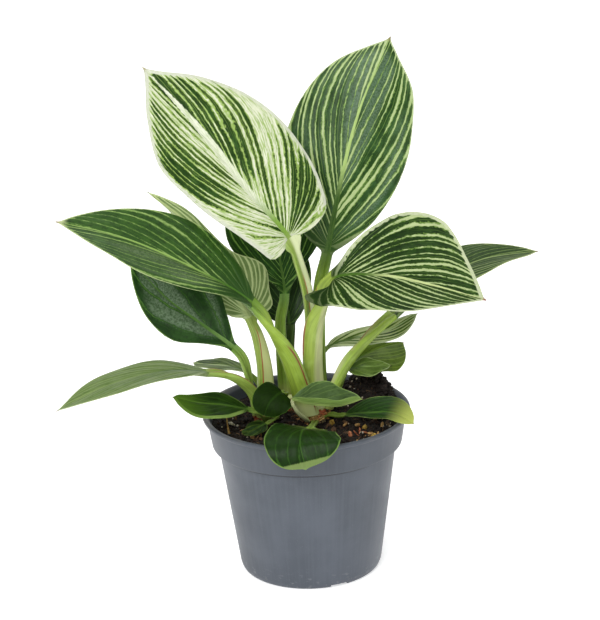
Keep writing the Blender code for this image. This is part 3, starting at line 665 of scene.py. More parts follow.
def stalk_rings(leaf, look, rows, half, top, low):
    """Points and maps of the stalk, a grooved section that ends as the blade's first ring."""
    s = np.linspace(0.0, 1.0, rows) ** 0.92 * leaf.joint * 0.985
    c = np.linspace(-1.0, 1.0, 2 * half + 1)
    p, t, side, up = leaf.frames(s)
    a, b = leaf.stalk_radii(s)
    k = s / leaf.joint
    p = p - t * (FOOT_RUNS_ON * np.maximum(0.0, 1 - k * 14))[:, None]
    arc = np.sqrt(np.maximum(0.0, 1 - (0.985 * c) ** 2))
    dip = (STALK_GROOVE * smooth_step(0.25 + k * 4))[:, None] * np.exp(-((c / 0.5) ** 2))[None, :]
    wing = look["wing"] * (1 - smooth_step((k - 0.35) / 0.4))[:, None] * np.abs(c)[None, :] ** 6
    high = 0.75 * arc[None, :] - dip + wing
    blend = smooth_step((k - 0.90) / 0.085)[:, None, None]
    upper = p[:, None] + side[:, None] * (a[:, None] * c)[..., None]
    upper = upper + up[:, None] * (b[:, None] * high)[..., None]
    under = p[:, None] + side[:, None] * (a[:, None] * c)[..., None]
    under = under - up[:, None] * (b[:, None] * arc[None, :])[..., None]
    shift = (p - p[-1])[:, None]
    upper = upper * (1 - blend) + (top[0][None] + shift) * blend
    under = under * (1 - blend) + (low[0][None] + shift) * blend
    across = a[:, None] * c[None, :]
    along = np.repeat((s - leaf.joint)[:, None], len(c), axis=1)
    rim = a[:, None] - np.abs(across)
    maps = {
        "VeinMap": stack(np.repeat(c[None, :], rows, axis=0), along / 100.0),
        "FlatMap": stack(across / 100.0, along / 100.0),
        "EdgeMap": stack(rim / 100.0, np.repeat(k[:, None], len(c), axis=1)),
    }
    return upper, under, maps


def ring_faces(rings, n):
    """Quads between following rings, then one fan at each end; the two end points come last."""
    i, j = np.meshgrid(np.arange(rings - 1), np.arange(n), indexing="ij")
    k = (j + 1) % n
    quads = stack(i * n + j, i * n + k, (i + 1) * n + k, (i + 1) * n + j).reshape(-1, 4)
    j = np.arange(n)
    k = (j + 1) % n
    foot = stack(k, j, np.full(n, rings * n))
    last = (rings - 1) * n
    tip = stack(last + j, last + k, np.full(n, rings * n + 1))
    return quads.tolist() + foot.tolist() + tip.tolist()


def make_leaf(name, spec, look):
    """The fine skin of one leaf, with its blade top, underside and stalk as three materials."""
    leaf = Leaf(**spec)
    rows, half, stalk_rows = look["fine"]
    top, low, maps = blade_rings(leaf, look, rows, half)
    upper, under, stalk_maps = stalk_rings(leaf, look, stalk_rows, half, top, low)
    n = 2 * (2 * half + 1)
    rings = np.concatenate([np.concatenate([upper, top]), np.concatenate([under, low])[:, ::-1]], axis=1)
    count = len(rings)
    points = np.concatenate([rings.reshape(-1, 3), [rings[0].mean(0), rings[-1].mean(0)]])
    obj = add_mesh(name, points, ring_faces(count, n), 60.0)
    for key in maps:
        grid = np.concatenate([stalk_maps[key], maps[key]])
        grid = np.concatenate([grid, grid[:, ::-1]], axis=1).reshape(-1, 2)
        set_uv(obj, key, np.concatenate([grid, [grid[0], grid[-1]]]))
    column = np.tile(np.arange(n), count - 1)
    row = np.repeat(np.arange(count - 1), n)
    slots = np.where((column > 2 * half) & (column < n - 1), 1, 0)
    slots = np.where(row < stalk_rows, 2, slots)
    slots = np.concatenate([slots, np.full(n, 2), np.zeros(n, int)]).astype(np.int32)
    for material in (leaf_top(name, look), leaf_under(name, look), leaf_stalk(name, look)):
        obj.data.materials.append(material)
    obj.data.polygons.foreach_set("material_index", slots)
    return obj


# ---- leaf looks ----------------------------------------------------------------------------------
# Colours are sRGB, 0-255; lengths are millimetres; k runs from 0 at the joint to 1 at the tip, or
# from 0 at the stalk's foot to 1 at the joint; -1 is the left edge and 1 the right edge.
# Tones: dark and fringe are the greens of the streaks, and the sheen tone a lighter, bluer green laid
# over them in blotches as a painted sheen; pale is the stripes between them and edge the margin.  Every
# leaf has its own dark, pale and seed; the rest may stay as in BASE_LOOK.
# Bands: between two veins, period wide on the left and right half, uneven by this share.  Green is
# the mean half width of a dark streak (0.5 fills the band), less thin on each half; own and group
# are how much single bands and groups differ, vein the most a streak may fill, soft and ragged its
# fringe, taper what it loses at the margin, inner_pale what it loses nearer the rib than inner.
# Mottle, fine_lines, faint and hair are the strengths of light grains and lines in the streaks, of
# green lines in the pale stripes, and of one light line in the middle of some bands.
# Margin and rib: rim is the pale margin's width, low_rim what the left half has more, rim_rough
# how uneven it is, edge_from the k where it is full, ripple the height of its waves; rib_low and
# rib are the rib's half widths near the joint and further on, rib_from the k where it turns pale.
# Base is how much of base_tone (or dark) lies on the blade as far as base_to, join_tone the tone
# where blade and stalk meet; tip comes in from tip_from over tip_soft, and point is the last bit.
# Gloss is the coat, relief the veins' height, wrinkle that of folds; glint is the strength of light
# patches, glint_pace how narrow they are, glint_side the half they lie on (0 is both).
# Under is the underside's tone, under_mark the strength of its streaks and under_green their half
# width where the upper side's does not do.
# Stalk has its tone, stalk_light its light spots; groove_dark shades its middle; side is from where
# to where side_colour comes in across it; wing raises its edges at the foot.
# Seams: place across at the foot and at the joint, half width, first and last k, strength, colour.
# Marks: direction faced, degrees round it, first and last k, strength, colour.
# Fine: rows along the blade, columns on each half, rows along the stalk.
VEIN_DRIFT = 0.35
STALK_FOOT = (158, 160, 96)

BASE_LOOK = dict(
    painted_sheen=(50, 76, 44), fringe=(116, 148, 66), edge=(196, 206, 168), rib_green=(70, 100, 40),
    rib_pale=(186, 204, 150),
    period=(3.0, 3.0), uneven=0.9, green=0.46, thin=(0.0, 0.0), own=0.2, group=0.5, vein=0.42,
    soft=0.1, ragged=0.2, taper=0.12,
    inner=0.42, inner_pale=0.0, mottle=0.3, fine_lines=0.3, faint=0.3, hair=0.5,
    rim=0.4, low_rim=0.0, rim_rough=0.5, edge_from=0.12, ripple=0.5, rib=0.4, rib_low=0.6,
    rib_from=0.35,
    base=0.5, base_to=0.05, base_tone=None, join_tone=None, tip=(120, 110, 70), tip_from=0.985,
    tip_soft=0.03, tip_strength=1.0, point=(120, 100, 60),
    rough=0.42, specular=0.22, gloss=0.08, relief=0.3, wrinkle=0.0, glint=0.0,
    glint_tone=(150, 170, 150), glint_pace=0.4, glint_side=0,
    under=(112, 134, 84), under_mark=0.34, under_green=None,
    stalk=(120, 146, 56), stalk_light=None, groove_dark=0.15, side=(3.0, 4.0),
    side_colour=(210, 212, 180), wing=0.0, seams=(), marks=(),
    fine=(64, 14, 30),
)

LOOKS = {
    "leaf_upper_left": dict(
        dark=(30, 58, 12), painted_sheen=(44, 76, 26), fringe=(138, 166, 82), pale=(208, 212, 186),
        edge=(200, 203, 186), rib_green=(112, 148, 56), rib_pale=(212, 216, 194), seed=3.1,
        period=(3.0, 3.9), uneven=1.4, green=0.27, thin=(0.1, 0.0), own=1.0, group=1.5, vein=0.43,
        soft=0.2, ragged=0.55, taper=0.25, inner=0.3, inner_pale=0.35, mottle=0.2, fine_lines=0.2,
        faint=0.8, rim=2.2, edge_from=0.001, ripple=0.8, rib=2.2, rib_low=1.2, rib_from=0.18,
        base=0.0, point=(170, 164, 124), specular=0.12, gloss=0.03, under=(150, 170, 116),
        stalk=(160, 182, 96), side=(0.0, 0.4), side_colour=(206, 214, 168), fine=(110, 26, 60),
        seams=((-0.55, -0.5, 0.42, 0.0, 1.0, 0.75, (138, 168, 66)),
               (-0.02, 0.1, 0.07, 0.25, 0.78, 0.9, (170, 84, 60)))),
    "leaf_upper_right": dict(
        dark=(30, 60, 16), painted_sheen=(46, 78, 38), fringe=(108, 138, 66), pale=(168, 184, 130),
        edge=(176, 188, 146), rib_green=(44, 74, 24), rib_pale=(162, 186, 112), seed=7.7,
        period=(3.8, 4.5), uneven=1.4, green=0.35, own=0.9, group=0.7, vein=0.45, soft=0.12,
        ragged=0.4, rim=0.8, rib=0.75, rib_low=1.6, rib_from=0.34, base=0.8, base_to=0.1,
        base_tone=(40, 68, 20), join_tone=(64, 92, 30), tip=(120, 124, 66), point=(124, 112, 66),
        specular=0.15, gloss=0.04, glint=0.5, glint_tone=(112, 136, 112), glint_pace=0.3,
        stalk=(116, 144, 42), fine=(110, 26, 50)),
    "leaf_mid_right": dict(
        dark=(22, 46, 6), painted_sheen=(32, 60, 14), fringe=(92, 122, 50), pale=(172, 186, 134),
        edge=(186, 194, 158), rib_green=(64, 98, 30), rib_pale=(190, 202, 140), seed=12.3,
        period=(3.6, 3.6), uneven=1.3, green=0.36, own=1.0, group=0.7, vein=0.45, ragged=0.55,
        taper=0.1, rim=1.1, low_rim=1.0, rim_rough=0.25, edge_from=0.1, rib=0.7, rib_low=0.8,
        rib_from=0.3, base=0.85, base_to=0.04, tip=(130, 70, 46), point=(120, 60, 40), rough=0.5,
        specular=0.1, gloss=0.02, stalk=(150, 172, 72), groove_dark=0.0, fine=(110, 26, 50),
        # The first mark is a painted highlight down the stalk's right front; the second is a red-brown
        # line.
        marks=(((0.72, -0.7, 0.0), 20, 0.0, 1.1, 0.45, (204, 200, 164)),
               ((-0.9, -0.43, 0.0), 13, 0.3, 1.1, 0.9, (150, 66, 40)))),
    "leaf_mid_left": dict(
        dark=(38, 70, 20), painted_sheen=(50, 84, 28), fringe=(84, 118, 48), pale=(136, 162, 92),
        edge=(166, 182, 124), rib_green=(70, 112, 34), rib_pale=(140, 172, 88), seed=17.9,
        period=(3.4, 4.4), uneven=1.3, green=0.43, own=0.5, group=0.4, vein=0.455, soft=0.07,
        ragged=0.3, inner=0.26, inner_pale=0.2, faint=0.6, hair=0.3, rim=0.7, rib=0.5,
        rib_from=0.25, base=0.9, base_to=0.16, join_tone=(96, 130, 44), tip=(190, 196, 150),
        tip_from=0.955, tip_soft=0.05, point=(150, 130, 96), glint=0.5, glint_tone=(116, 134, 98),
        glint_pace=0.15, glint_side=-1, stalk=(138, 164, 56), groove_dark=0.0, fine=(110, 22, 50),
        # The first seam is the pale sheath at the stalk's foot, lightened further as painted light where
        # the boat leaf shades it; the second is a red-brown line.
        seams=((0.0, 0.0, 1.3, -0.1, 0.13, 0.85, (196, 204, 146)),
               (-0.88, -0.94, 0.055, 0.0, 0.62, 1.0, (122, 56, 34)))),
    "leaf_behind_left": dict(
        dark=(44, 74, 22), painted_sheen=(60, 92, 34), pale=(214, 224, 170), seed=21.0, period=(2.4, 2.4),
        green=0.3, own=0.7, rim=1.2, under=(152, 170, 110), under_mark=0.5, under_green=0.3,
        stalk=(146, 168, 74), fine=(80, 20, 40),
        seams=((-0.55, -0.6, 0.8, 0.0, 0.85, 0.75, (188, 194, 134)),
               (0.22, -0.2, 0.09, 0.0, 0.9, 0.95, (156, 72, 48)))),
    "leaf_low_left": dict(
        dark=(22, 54, 10), painted_sheen=(34, 68, 18), fringe=(44, 80, 24), pale=(70, 106, 42),
        edge=(120, 150, 76), rib_green=(112, 146, 76), rib_pale=(76, 112, 46), seed=26.5,
        period=(8.6, 8.6), own=0.15, group=0.1, vein=0.475, soft=0.05, hair=0.1, rim=0.6, rib=0.3,
        rib_low=1.0, rib_from=0.18, join_tone=(96, 134, 52), specular=0.15, gloss=0.04, wrinkle=0.2,
        glint=0.5, glint_tone=(132, 154, 124), glint_pace=0.75, stalk=(140, 168, 76)),
    "leaf_back_centre": dict(
        dark=(28, 58, 14), painted_sheen=(36, 70, 22), fringe=(62, 98, 32), pale=(112, 146, 70),
        edge=(144, 166, 102), rib_pale=(84, 122, 44), seed=31.2, period=(3.4, 3.4), green=0.42,
        own=0.5, rim=0.5, base=0.7, join_tone=(96, 132, 60), specular=0.1, gloss=0.02,
        stalk=(120, 150, 52), fine=(90, 20, 40)),
    "leaf_back_shade": dict(
        # Its tones and stalk are darker than the other leaves', as painted shade where it lies behind
        # them.
        dark=(24, 46, 12), painted_sheen=(32, 58, 20), fringe=(48, 78, 26), pale=(76, 106, 44),
        edge=(80, 108, 50), rib_pale=(64, 96, 34), seed=35.0, period=(3.4, 3.4), green=0.44,
        own=0.3, stalk=(56, 80, 20), stalk_light=(70, 96, 30), wing=1.2,
        marks=(((0.95, -0.3, 0.0), 14, 0.1, 0.9, 0.8, (110, 50, 34)),)),
    "leaf_far_right": dict(
        dark=(38, 62, 18), painted_sheen=(50, 76, 30), fringe=(74, 102, 42), pale=(130, 148, 88),
        edge=(176, 186, 136), rib_pale=(140, 160, 98), seed=40.1, period=(2.8, 2.8), green=0.38,
        own=0.5, rim=0.7, specular=0.15, gloss=0.03, stalk=(150, 178, 66), wing=0.5,
        fine=(90, 16, 44),
        marks=(((-0.48, -0.72, 0.5), 20, 0.0, 1.0, 0.45, (178, 160, 126)),
               ((-0.68, -0.38, 0.62), 15, 0.0, 1.0, 0.95, (128, 62, 44)))),
    "leaf_pale_right": dict(
        dark=(84, 112, 40), fringe=(136, 160, 76), pale=(200, 210, 156), seed=44.4,
        period=(2.4, 2.4), green=0.25, own=0.7, rim=1.1, rib=0.5, under=(140, 156, 108)),
    "leaf_olive_right": dict(
        dark=(78, 102, 18), painted_sheen=(96, 120, 30), fringe=(106, 132, 38), pale=(116, 142, 48),
        edge=(130, 150, 70), rib_pale=(110, 136, 50), seed=48.7, green=0.45, group=0.1, mottle=0.1,
        fine_lines=0.1, faint=0.0, hair=0.0, rim=0.3, rough=0.5, relief=0.08),
    "leaf_small_right": dict(
        dark=(74, 98, 34), painted_sheen=(96, 120, 52), fringe=(92, 116, 48), pale=(114, 138, 66),
        edge=(148, 168, 106), rib_pale=(112, 138, 66), seed=52.2, period=(3.2, 3.2), green=0.42,
        relief=0.12),
    "leaf_yellow_tip": dict(
        dark=(26, 54, 12), painted_sheen=(32, 62, 16), fringe=(40, 72, 20), pale=(52, 86, 28),
        edge=(130, 152, 84), rib_pale=(70, 104, 38), seed=56.0, green=0.45, group=0.1, hair=0.15,
        tip=(176, 186, 92), tip_from=0.58, tip_soft=0.4, specular=0.12, gloss=0.03,
        under=(132, 154, 84)),
    "leaf_boat_front": dict(
        dark=(62, 86, 40), painted_sheen=(74, 98, 52), fringe=(78, 102, 50), pale=(88, 114, 56),
        edge=(126, 152, 84), rib_pale=(80, 106, 50), seed=60.3, own=0.1, group=0.1, hair=0.1,
        rim=0.5, rib=0.1, rough=0.5, specular=0.12, gloss=0.03, under=(140, 170, 84),
        # The stalk's pale green is lightened further as painted light where the leaves above shade it.
        under_mark=0.35, under_green=0.28, stalk=(196, 204, 150), stalk_light=(214, 208, 164),
        fine=(90, 18, 30)),
    "leaf_round_front": dict(
        dark=(20, 45, 5), painted_sheen=(28, 56, 9), fringe=(29, 58, 10), pale=(40, 72, 18),
        edge=(108, 136, 66), rib_pale=(46, 80, 22), seed=64.8, period=(6.4, 6.4), own=0.12,
        group=0.1, vein=0.475, soft=0.04, hair=0.1, rim=0.7, rim_rough=0.3, rib=0.25, base=0.8,
        base_to=0.12, base_tone=(92, 112, 44), tip=(106, 126, 70), tip_from=0.9, tip_soft=0.02,
        point=(106, 126, 70), rough=0.36, specular=0.08, gloss=0.02, relief=0.2,
        under=(126, 140, 96), fine=(90, 22, 30)),
    "leaf_round_small": dict(
        dark=(18, 38, 2), painted_sheen=(26, 48, 5), fringe=(20, 40, 3), pale=(22, 43, 4),
        edge=(66, 98, 30), rib_green=(34, 58, 12), rib_pale=(30, 55, 9), seed=68.1, green=0.47,
        own=0.1, group=0.1, faint=0.0, hair=0.0, rim=0.3, rough=0.55, specular=0.06, gloss=0.0,
        relief=0.03),
    "leaf_front_left": dict(
        dark=(22, 46, 5), painted_sheen=(32, 60, 9), fringe=(36, 64, 12), pale=(46, 76, 20),
        edge=(122, 148, 74), rib_pale=(74, 106, 36), seed=72.6, green=0.455, group=0.1, hair=0.1,
        rim=0.5, low_rim=1.5, join_tone=(80, 112, 40), tip=(80, 116, 26), tip_from=0.45,
        tip_soft=0.55, tip_strength=0.7, specular=0.15, gloss=0.04, relief=0.2,
        under=(130, 156, 84), stalk=(120, 146, 58)),
    "leaf_drooping_left": dict(
        dark=(92, 118, 56), painted_sheen=(106, 128, 72), fringe=(112, 134, 76), pale=(128, 146, 90),
        rib_pale=(124, 144, 84), seed=76.0, period=(2.6, 2.6), green=0.36, own=0.5, rim=0.6,
        join_tone=(136, 162, 78), specular=0.12, gloss=0.02, relief=0.15, under=(132, 146, 100),
        stalk=(144, 170, 72), fine=(90, 18, 40),
        marks=(((0.2, 0.1, 0.97), 30, 0.5, 1.0, 0.6, (172, 108, 84)),
               ((0.72, -0.2, 0.66), 16, 0.0, 0.75, 0.9, (140, 70, 50)))),
    "leaf_thin_left": dict(
        dark=(96, 116, 62), fringe=(108, 128, 76), pale=(122, 140, 88), seed=80.5, green=0.34,
        own=0.7, specular=0.1, gloss=0.0, relief=0.1, under=(110, 126, 80)),
    "leaf_on_soil": dict(
        dark=(22, 40, 6), fringe=(36, 56, 14), pale=(64, 84, 32), edge=(74, 92, 40),
        rib_pale=(60, 80, 30), seed=84.0, green=0.44, rim=0.3, specular=0.1, gloss=0.0),
}


class Veins:
    """The bands between the veins of a blade, as values that its colours are made from."""

    def __init__(self, tree, look):
        self.tree = tree
        self.side, v = tree.uv("VeinMap")
        self.across, along = tree.uv("FlatMap")
        self.rim, self.k = tree.uv("EdgeMap")
        self.seed = tree.scaled(tree.math("GREATER_THAN", self.side, 0.0), 11.7, look["seed"])
        self.flat = tree.vector(self.across, along, self.seed)
        square = tree.scaled(self.across, self.across, tree.times(along, along))
        self.run = tree.math("SQRT", square)
        beat = tree.times(v, self.each_side(*(100.0 / period for period in look["period"])))
        uneven = tree.noise_at(tree.times(beat, 0.45), 0.0, self.seed, 1.0)
        beat = tree.scaled(uneven, look["uneven"], beat)
        self.beat = tree.scaled(tree.noise(self.flat, 12.0), VEIN_DRIFT, beat)
        self.band = tree.math("FLOOR", self.beat)
        self.middle = tree.size(tree.minus(tree.math("FRACT", self.beat), 0.5))
        self.ragged = self.streaks(self.beat, 5.0, 0.45, 4.0)
        width = tree.times(self.streaks(self.band, 7.31, 0.018), look["own"])
        width = tree.scaled(self.streaks(self.beat, 0.34, 0.010), look["group"], width)
        mean = look["green"] - 0.5 * look["own"] - 0.5 * look["group"]
        mean = self.each_side(*(mean - thin for thin in look["thin"]))
        self.width = tree.math("ADD", width, mean)

    def each_side(self, left, right):
        """One value on the left half of the blade and one on the right."""
        return self.tree.step(self.side, -0.001, 0.001, left, right)

    def streaks(self, way, pace, turns, detail=1.0):
        """Noise drawn out along the veins: pace a band across, turns a millimetre along."""
        along = self.tree.times(self.run, 100.0 * turns)
        return self.tree.noise_at(self.tree.times(way, pace), along, self.seed, detail, 0.6)


def streak_depth(tree, look, veins):
    """How far inside a dark streak a place lies, in bands; below zero between the streaks."""
    inner = tree.step(tree.size(veins.side), look["inner"], 0.0)
    inner = tree.times(inner, tree.step(veins.k, 0.05, 0.3))
    width = tree.scaled(inner, -look["inner_pale"], veins.width)
    band = look["rim"] / 100.0
    outer = tree.step(veins.rim, band + 0.022, band, 0.0, look["taper"])
    width = tree.math("MINIMUM", tree.minus(width, outer), look["vein"])
    uneven = tree.minus(veins.ragged, 0.5)
    return tree.scaled(uneven, look["ragged"], tree.minus(width, veins.middle))


def streak_colour(tree, look, veins, depth, blotch, faint):
    """Dark streaks with fine lines and specks, pale stripes between them, and hair lines."""
    fringe, beat = look["fringe"], veins.beat
    # Painted sheen: blotches of a lighter, bluer green laid over the dark streaks.
    green = tree.over(look["dark"], look["painted_sheen"], blotch, 0.42, 0.68)
    grain = tree.times(tree.noise(veins.flat, 110.0, 3.0, 0.65), 0.25)
    grain = tree.scaled(veins.streaks(beat, 3.0, 0.30, 3.0), 0.8, grain)
    green = tree.over(green, fringe, grain, 0.58, 0.80, look["mottle"])
    green = tree.over(green, np.array(look["dark"]) * 0.66, grain, 0.54, 0.38, 0.6)
    fine = tree.math("FRACT", tree.times(beat, 4.0))
    fine = tree.step(tree.size(tree.minus(fine, 0.5)), 0.30, 0.48)
    some = tree.step(veins.streaks(beat, 2.2, 0.12), 0.42, 0.66, 0.0, look["fine_lines"])
    green = tree.mix(tree.times(fine, some), green, fringe)
    speck = tree.step(veins.streaks(beat, 9.0, 0.9), 0.52, 0.62)
    green = tree.mix(tree.times(speck, tree.step(depth, 0.17, 0.0, 0.0, 0.8)), green, fringe)
    stripe = tree.mix(faint, look["pale"], fringe)
    stripe = tree.over(stripe, fringe, depth, -look["soft"], -0.3 * look["soft"])
    colour = tree.mix(tree.step(depth, -0.03, 0.03), stripe, green)
    hair = tree.step(veins.streaks(veins.band, 3.77, 0.02), 0.48, 0.56, 0.0, look["hair"])
    return tree.mix(tree.times(tree.step(veins.middle, 0.055, 0.015), hair), colour, fringe)


def edge_colour(tree, look, veins, colour):
    """The pale margin, uneven where it meets the streaks."""
    band = look["rim"] / 100.0
    uneven = tree.minus(veins.ragged, 0.5)
    edge = tree.scaled(uneven, -look["rim_rough"] * band, veins.rim)
    if look["low_rim"]:
        more = tree.step(veins.side, 0.3, -0.3, 0.0, look["low_rim"] / 100.0)
        edge = tree.minus(edge, more)
    edge = tree.step(edge, band + 0.0015, band - 0.0025)
    edge = tree.times(edge, tree.step(veins.k, 0.0, look["edge_from"]))
    tone = tree.over(look["edge"], look["fringe"], veins.ragged, 0.40, 0.65, 0.25)
    return tree.mix(edge, colour, tone)


def glint_colour(tree, look, veins, depth, colour):
    """Broken light patches on the dark streaks, where the blade mirrors the studio."""
    glint = look["glint"]
    shine = tree.step(veins.streaks(veins.beat, look["glint_pace"], 0.014), 0.42, 0.60)
    shine = tree.times(shine, tree.step(veins.rim, 0.02, 0.06))
    dabs = tree.step(tree.noise(veins.flat, 95.0, 3.0, 0.6), 0.38, 0.62, 0.35 * glint, glint)
    shine = tree.times(shine, dabs)
    shine = tree.times(shine, tree.step(depth, -0.02, 0.06))
    shine = tree.times(shine, tree.step(veins.k, 0.0, 0.12))
    if look["glint_side"]:
        shine = tree.times(shine, tree.step(veins.side, 0.0, 0.2 * look["glint_side"]))
    return tree.mix(shine, colour, look["glint_tone"])


def rib_colour(tree, look, veins, base, faint, colour):
    """The rib, green near the joint and pale further on, and the stalk's tone at the joint."""
    distance = tree.size(veins.across)
    uneven = tree.minus(veins.ragged, 0.5)
    thick = tree.step(veins.k, 0.0, 0.6, look["rib_low"] / 100.0, look["rib"] / 100.0)
    thick = tree.times(thick, tree.step(veins.k, 1.04, 0.5))
    rib = tree.minus(tree.scaled(uneven, 0.008 * look["rib"], distance), thick)
    low = tree.over(look["rib_green"], look["fringe"],
                    veins.streaks(veins.across, 900.0, 0.08, 2.0), 0.40, 0.62, 0.4)
    high = tree.mix(tree.times(faint, 0.6), look["rib_pale"], look["fringe"])
    tone = tree.mix(tree.step(base, look["rib_from"] - 0.08, look["rib_from"] + 0.12), low, high)
    colour = tree.mix(tree.step(rib, 0.0035, 0.0), colour, tone)
    near = tree.step(distance, 0.010 + look["rib_low"] / 60.0, 0.004)
    near = tree.times(tree.step(base, 0.060, 0.012, 0.0, 0.85), near)
    return tree.mix(near, colour, look["join_tone"] or np.array(look["stalk"]) * 0.9)


def leaf_top(name, look):
    """Upper side of a blade: dark streaks between pale veins, a pale margin and a pale rib."""
    tree = Tree(name + "_top")
    veins = Veins(tree, look)
    depth = streak_depth(tree, look, veins)
    blotch = tree.noise(veins.flat, 9.0, 3.0, 0.55)
    faint = veins.streaks(veins.beat, 7.0, 0.14, 2.0)
    faint = tree.step(faint, 0.46, 0.60, 0.0, look["faint"])
    colour = streak_colour(tree, look, veins, depth, blotch, faint)
    colour = edge_colour(tree, look, veins, colour)
    if look["glint"]:
        colour = glint_colour(tree, look, veins, depth, colour)
    base, base_to = tree.scaled(veins.ragged, 0.04, veins.k), look["base_to"]
    tone = look["base_tone"] or look["dark"]
    colour = tree.over(colour, tone, base, base_to + 0.10, base_to - 0.04, look["base"])
    colour = rib_colour(tree, look, veins, base, faint, colour)
    tip, start = tree.scaled(veins.ragged, 0.03, veins.k), look["tip_from"]
    colour = tree.over(colour, look["tip"], tip, start, start + look["tip_soft"], look["tip_strength"])
    colour = tree.over(colour, look["point"], veins.k, 0.975, 0.995, 0.85)

    height = tree.scaled(veins.ragged, 0.25, tree.step(veins.middle, 0.5, 0.25))
    normal = tree.bump(height, look["relief"], 0.0005)
    normal = tree.bump(tree.noise(veins.flat, 420.0, 2.0, 0.6), 0.2, 0.0001, normal)
    if look["wrinkle"]:
        folds = veins.streaks(veins.beat, 1.6, 0.16, 3.0)
        normal = tree.bump(folds, look["wrinkle"], 0.002, normal)
    rough = tree.step(blotch, 0.3, 0.7, look["rough"] + 0.06, look["rough"] - 0.05)
    return tree.finish(colour, rough, normal, look["specular"], look["gloss"], 0.2)


def leaf_under(name, look):
    """Underside of a blade: matt, paler, with faint streaks and a raised pale rib."""
    tree = Tree(name + "_under")
    veins = Veins(tree, look)
    width = tree.math("MINIMUM", look["under_green"] or veins.width, look["vein"])
    uneven = tree.minus(veins.ragged, 0.5)
    depth = tree.scaled(uneven, look["ragged"], tree.minus(width, veins.middle))
    under, dark, pale = (np.array(look[key], float) for key in ("under", "dark", "pale"))
    dark = under * (1.0 - look["under_mark"]) + dark * look["under_mark"]
    light = under * 0.60 + pale * 0.40
    blotch = tree.noise(veins.flat, 12.0, 3.0, 0.55)
    green = tree.over(dark, dark * 0.5 + under * 0.47, blotch, 0.35, 0.7)
    colour = tree.mix(tree.step(depth, -0.10, 0.06), light, green)
    band = look["rim"] / 100.0
    colour = tree.over(colour, light, veins.rim, band, band - 0.006)
    rib_tone = under * 0.6 + np.array((170, 180, 120)) * 0.4
    colour = tree.over(colour, rib_tone, tree.size(veins.across), 0.020, 0.008, 0.7)
    height = tree.scaled(veins.ragged, 0.3, tree.step(veins.middle, 0.25, 0.5))
    normal = tree.bump(height, 0.35, 0.0005)
    return tree.finish(colour, tree.step(blotch, 0.3, 0.7, 0.60, 0.52), normal, 0.2)


def leaf_stalk(name, look):
    """Stalk: fine lines along it, lighter in places, with lines and marks on its sides."""
    tree = Tree(name + "_stalk")
    c, along = tree.uv("VeinMap")
    k = tree.uv("EdgeMap")[1]
    lines = tree.noise_at(tree.times(c, 5.5), tree.times(along, 2.5), look["seed"], 3.0, 0.6)
    blotch = tree.noise_at(c, tree.times(along, 9.0), look["seed"], 3.0, 0.55)
    stalk = np.array(look["stalk"], float)
    colour = tree.over(stalk * 0.84, stalk * 1.05, lines, 0.32, 0.68)
    light = look["stalk_light"] or np.minimum(stalk * 1.12 + (8, 8, 22), 255)
    colour = tree.over(colour, light, blotch, 0.45, 0.75, 0.5)
    colour = tree.over(colour, stalk * 0.66, tree.size(c), 0.45, 0.05, look["groove_dark"])
    wavy = tree.scaled(lines, 0.25, c)
    colour = tree.over(colour, look["side_colour"], wavy, *look["side"], 0.9)
    colour = tree.over(colour, STALK_FOOT, k, 0.16, 0.0, 0.6)
    if look["join_tone"]:
        colour = tree.over(colour, look["join_tone"], k, 0.80, 1.0, 0.9)
    for foot_c, joint_c, reach, start, end, strength, tone in look["seams"]:
        middle = tree.scaled(k, joint_c - foot_c, foot_c)
        middle = tree.scaled(blotch, 0.10, tree.minus(middle, 0.05))
        away = tree.size(tree.minus(c, middle))
        line_mask = tree.step(away, reach, 0.55 * reach, 0.0, strength)
        colour = tree.mix(tree.within(line_mask, k, start, end, 0.08), colour, tone)
    wobble = tree.scaled(lines, 0.10, -0.05)
    # Marks colour the stalk by the way it faces: lines of its own colour, and on one leaf a painted
    # highlight.
    for way, reach, start, end, strength, tone in look["marks"]:
        facing = tree.math("ADD", tree.facing(tuple(unit(way))), wobble)
        low, high = (math.cos(math.radians(share * reach)) for share in (1.5, 0.7))
        mark = tree.step(facing, low, high, 0.0, strength)
        colour = tree.mix(tree.within(mark, k, start, end, 0.12), colour, tone)
    normal = tree.bump(lines, 0.35, 0.0005)
    return tree.finish(colour, tree.step(blotch, 0.3, 0.7, 0.46, 0.36), normal, 0.3, 0.1)


# ---- pot -----------------------------------------------------------------------------------------
# Height of the painted shadow line under the band, and the points of pot_profile() on its inner wall.
POT_SHADOW_LINE = 75.8
POT_INSIDE = slice(16, 21)


def rounded(points):
    """The profile with each inner corner rounded off a little, never outside its own lines."""
    out = [points[0]]
    for a, b, c in zip(points, points[1:], points[2:]):
        a, b, c = (np.array(q, float) for q in (a, b, c))
        back = b + (a - b) * min(0.42, 0.9 / max(1e-6, np.linalg.norm(a - b)))
        on = b + (c - b) * min(0.42, 0.9 / max(1e-6, np.linalg.norm(c - b)))
        for t in np.linspace(0.0, 1.0, 5):
            out.append(tuple((1 - t) ** 2 * back + 2 * t * (1 - t) * b + t * t * on))
    return out + [points[-1]]


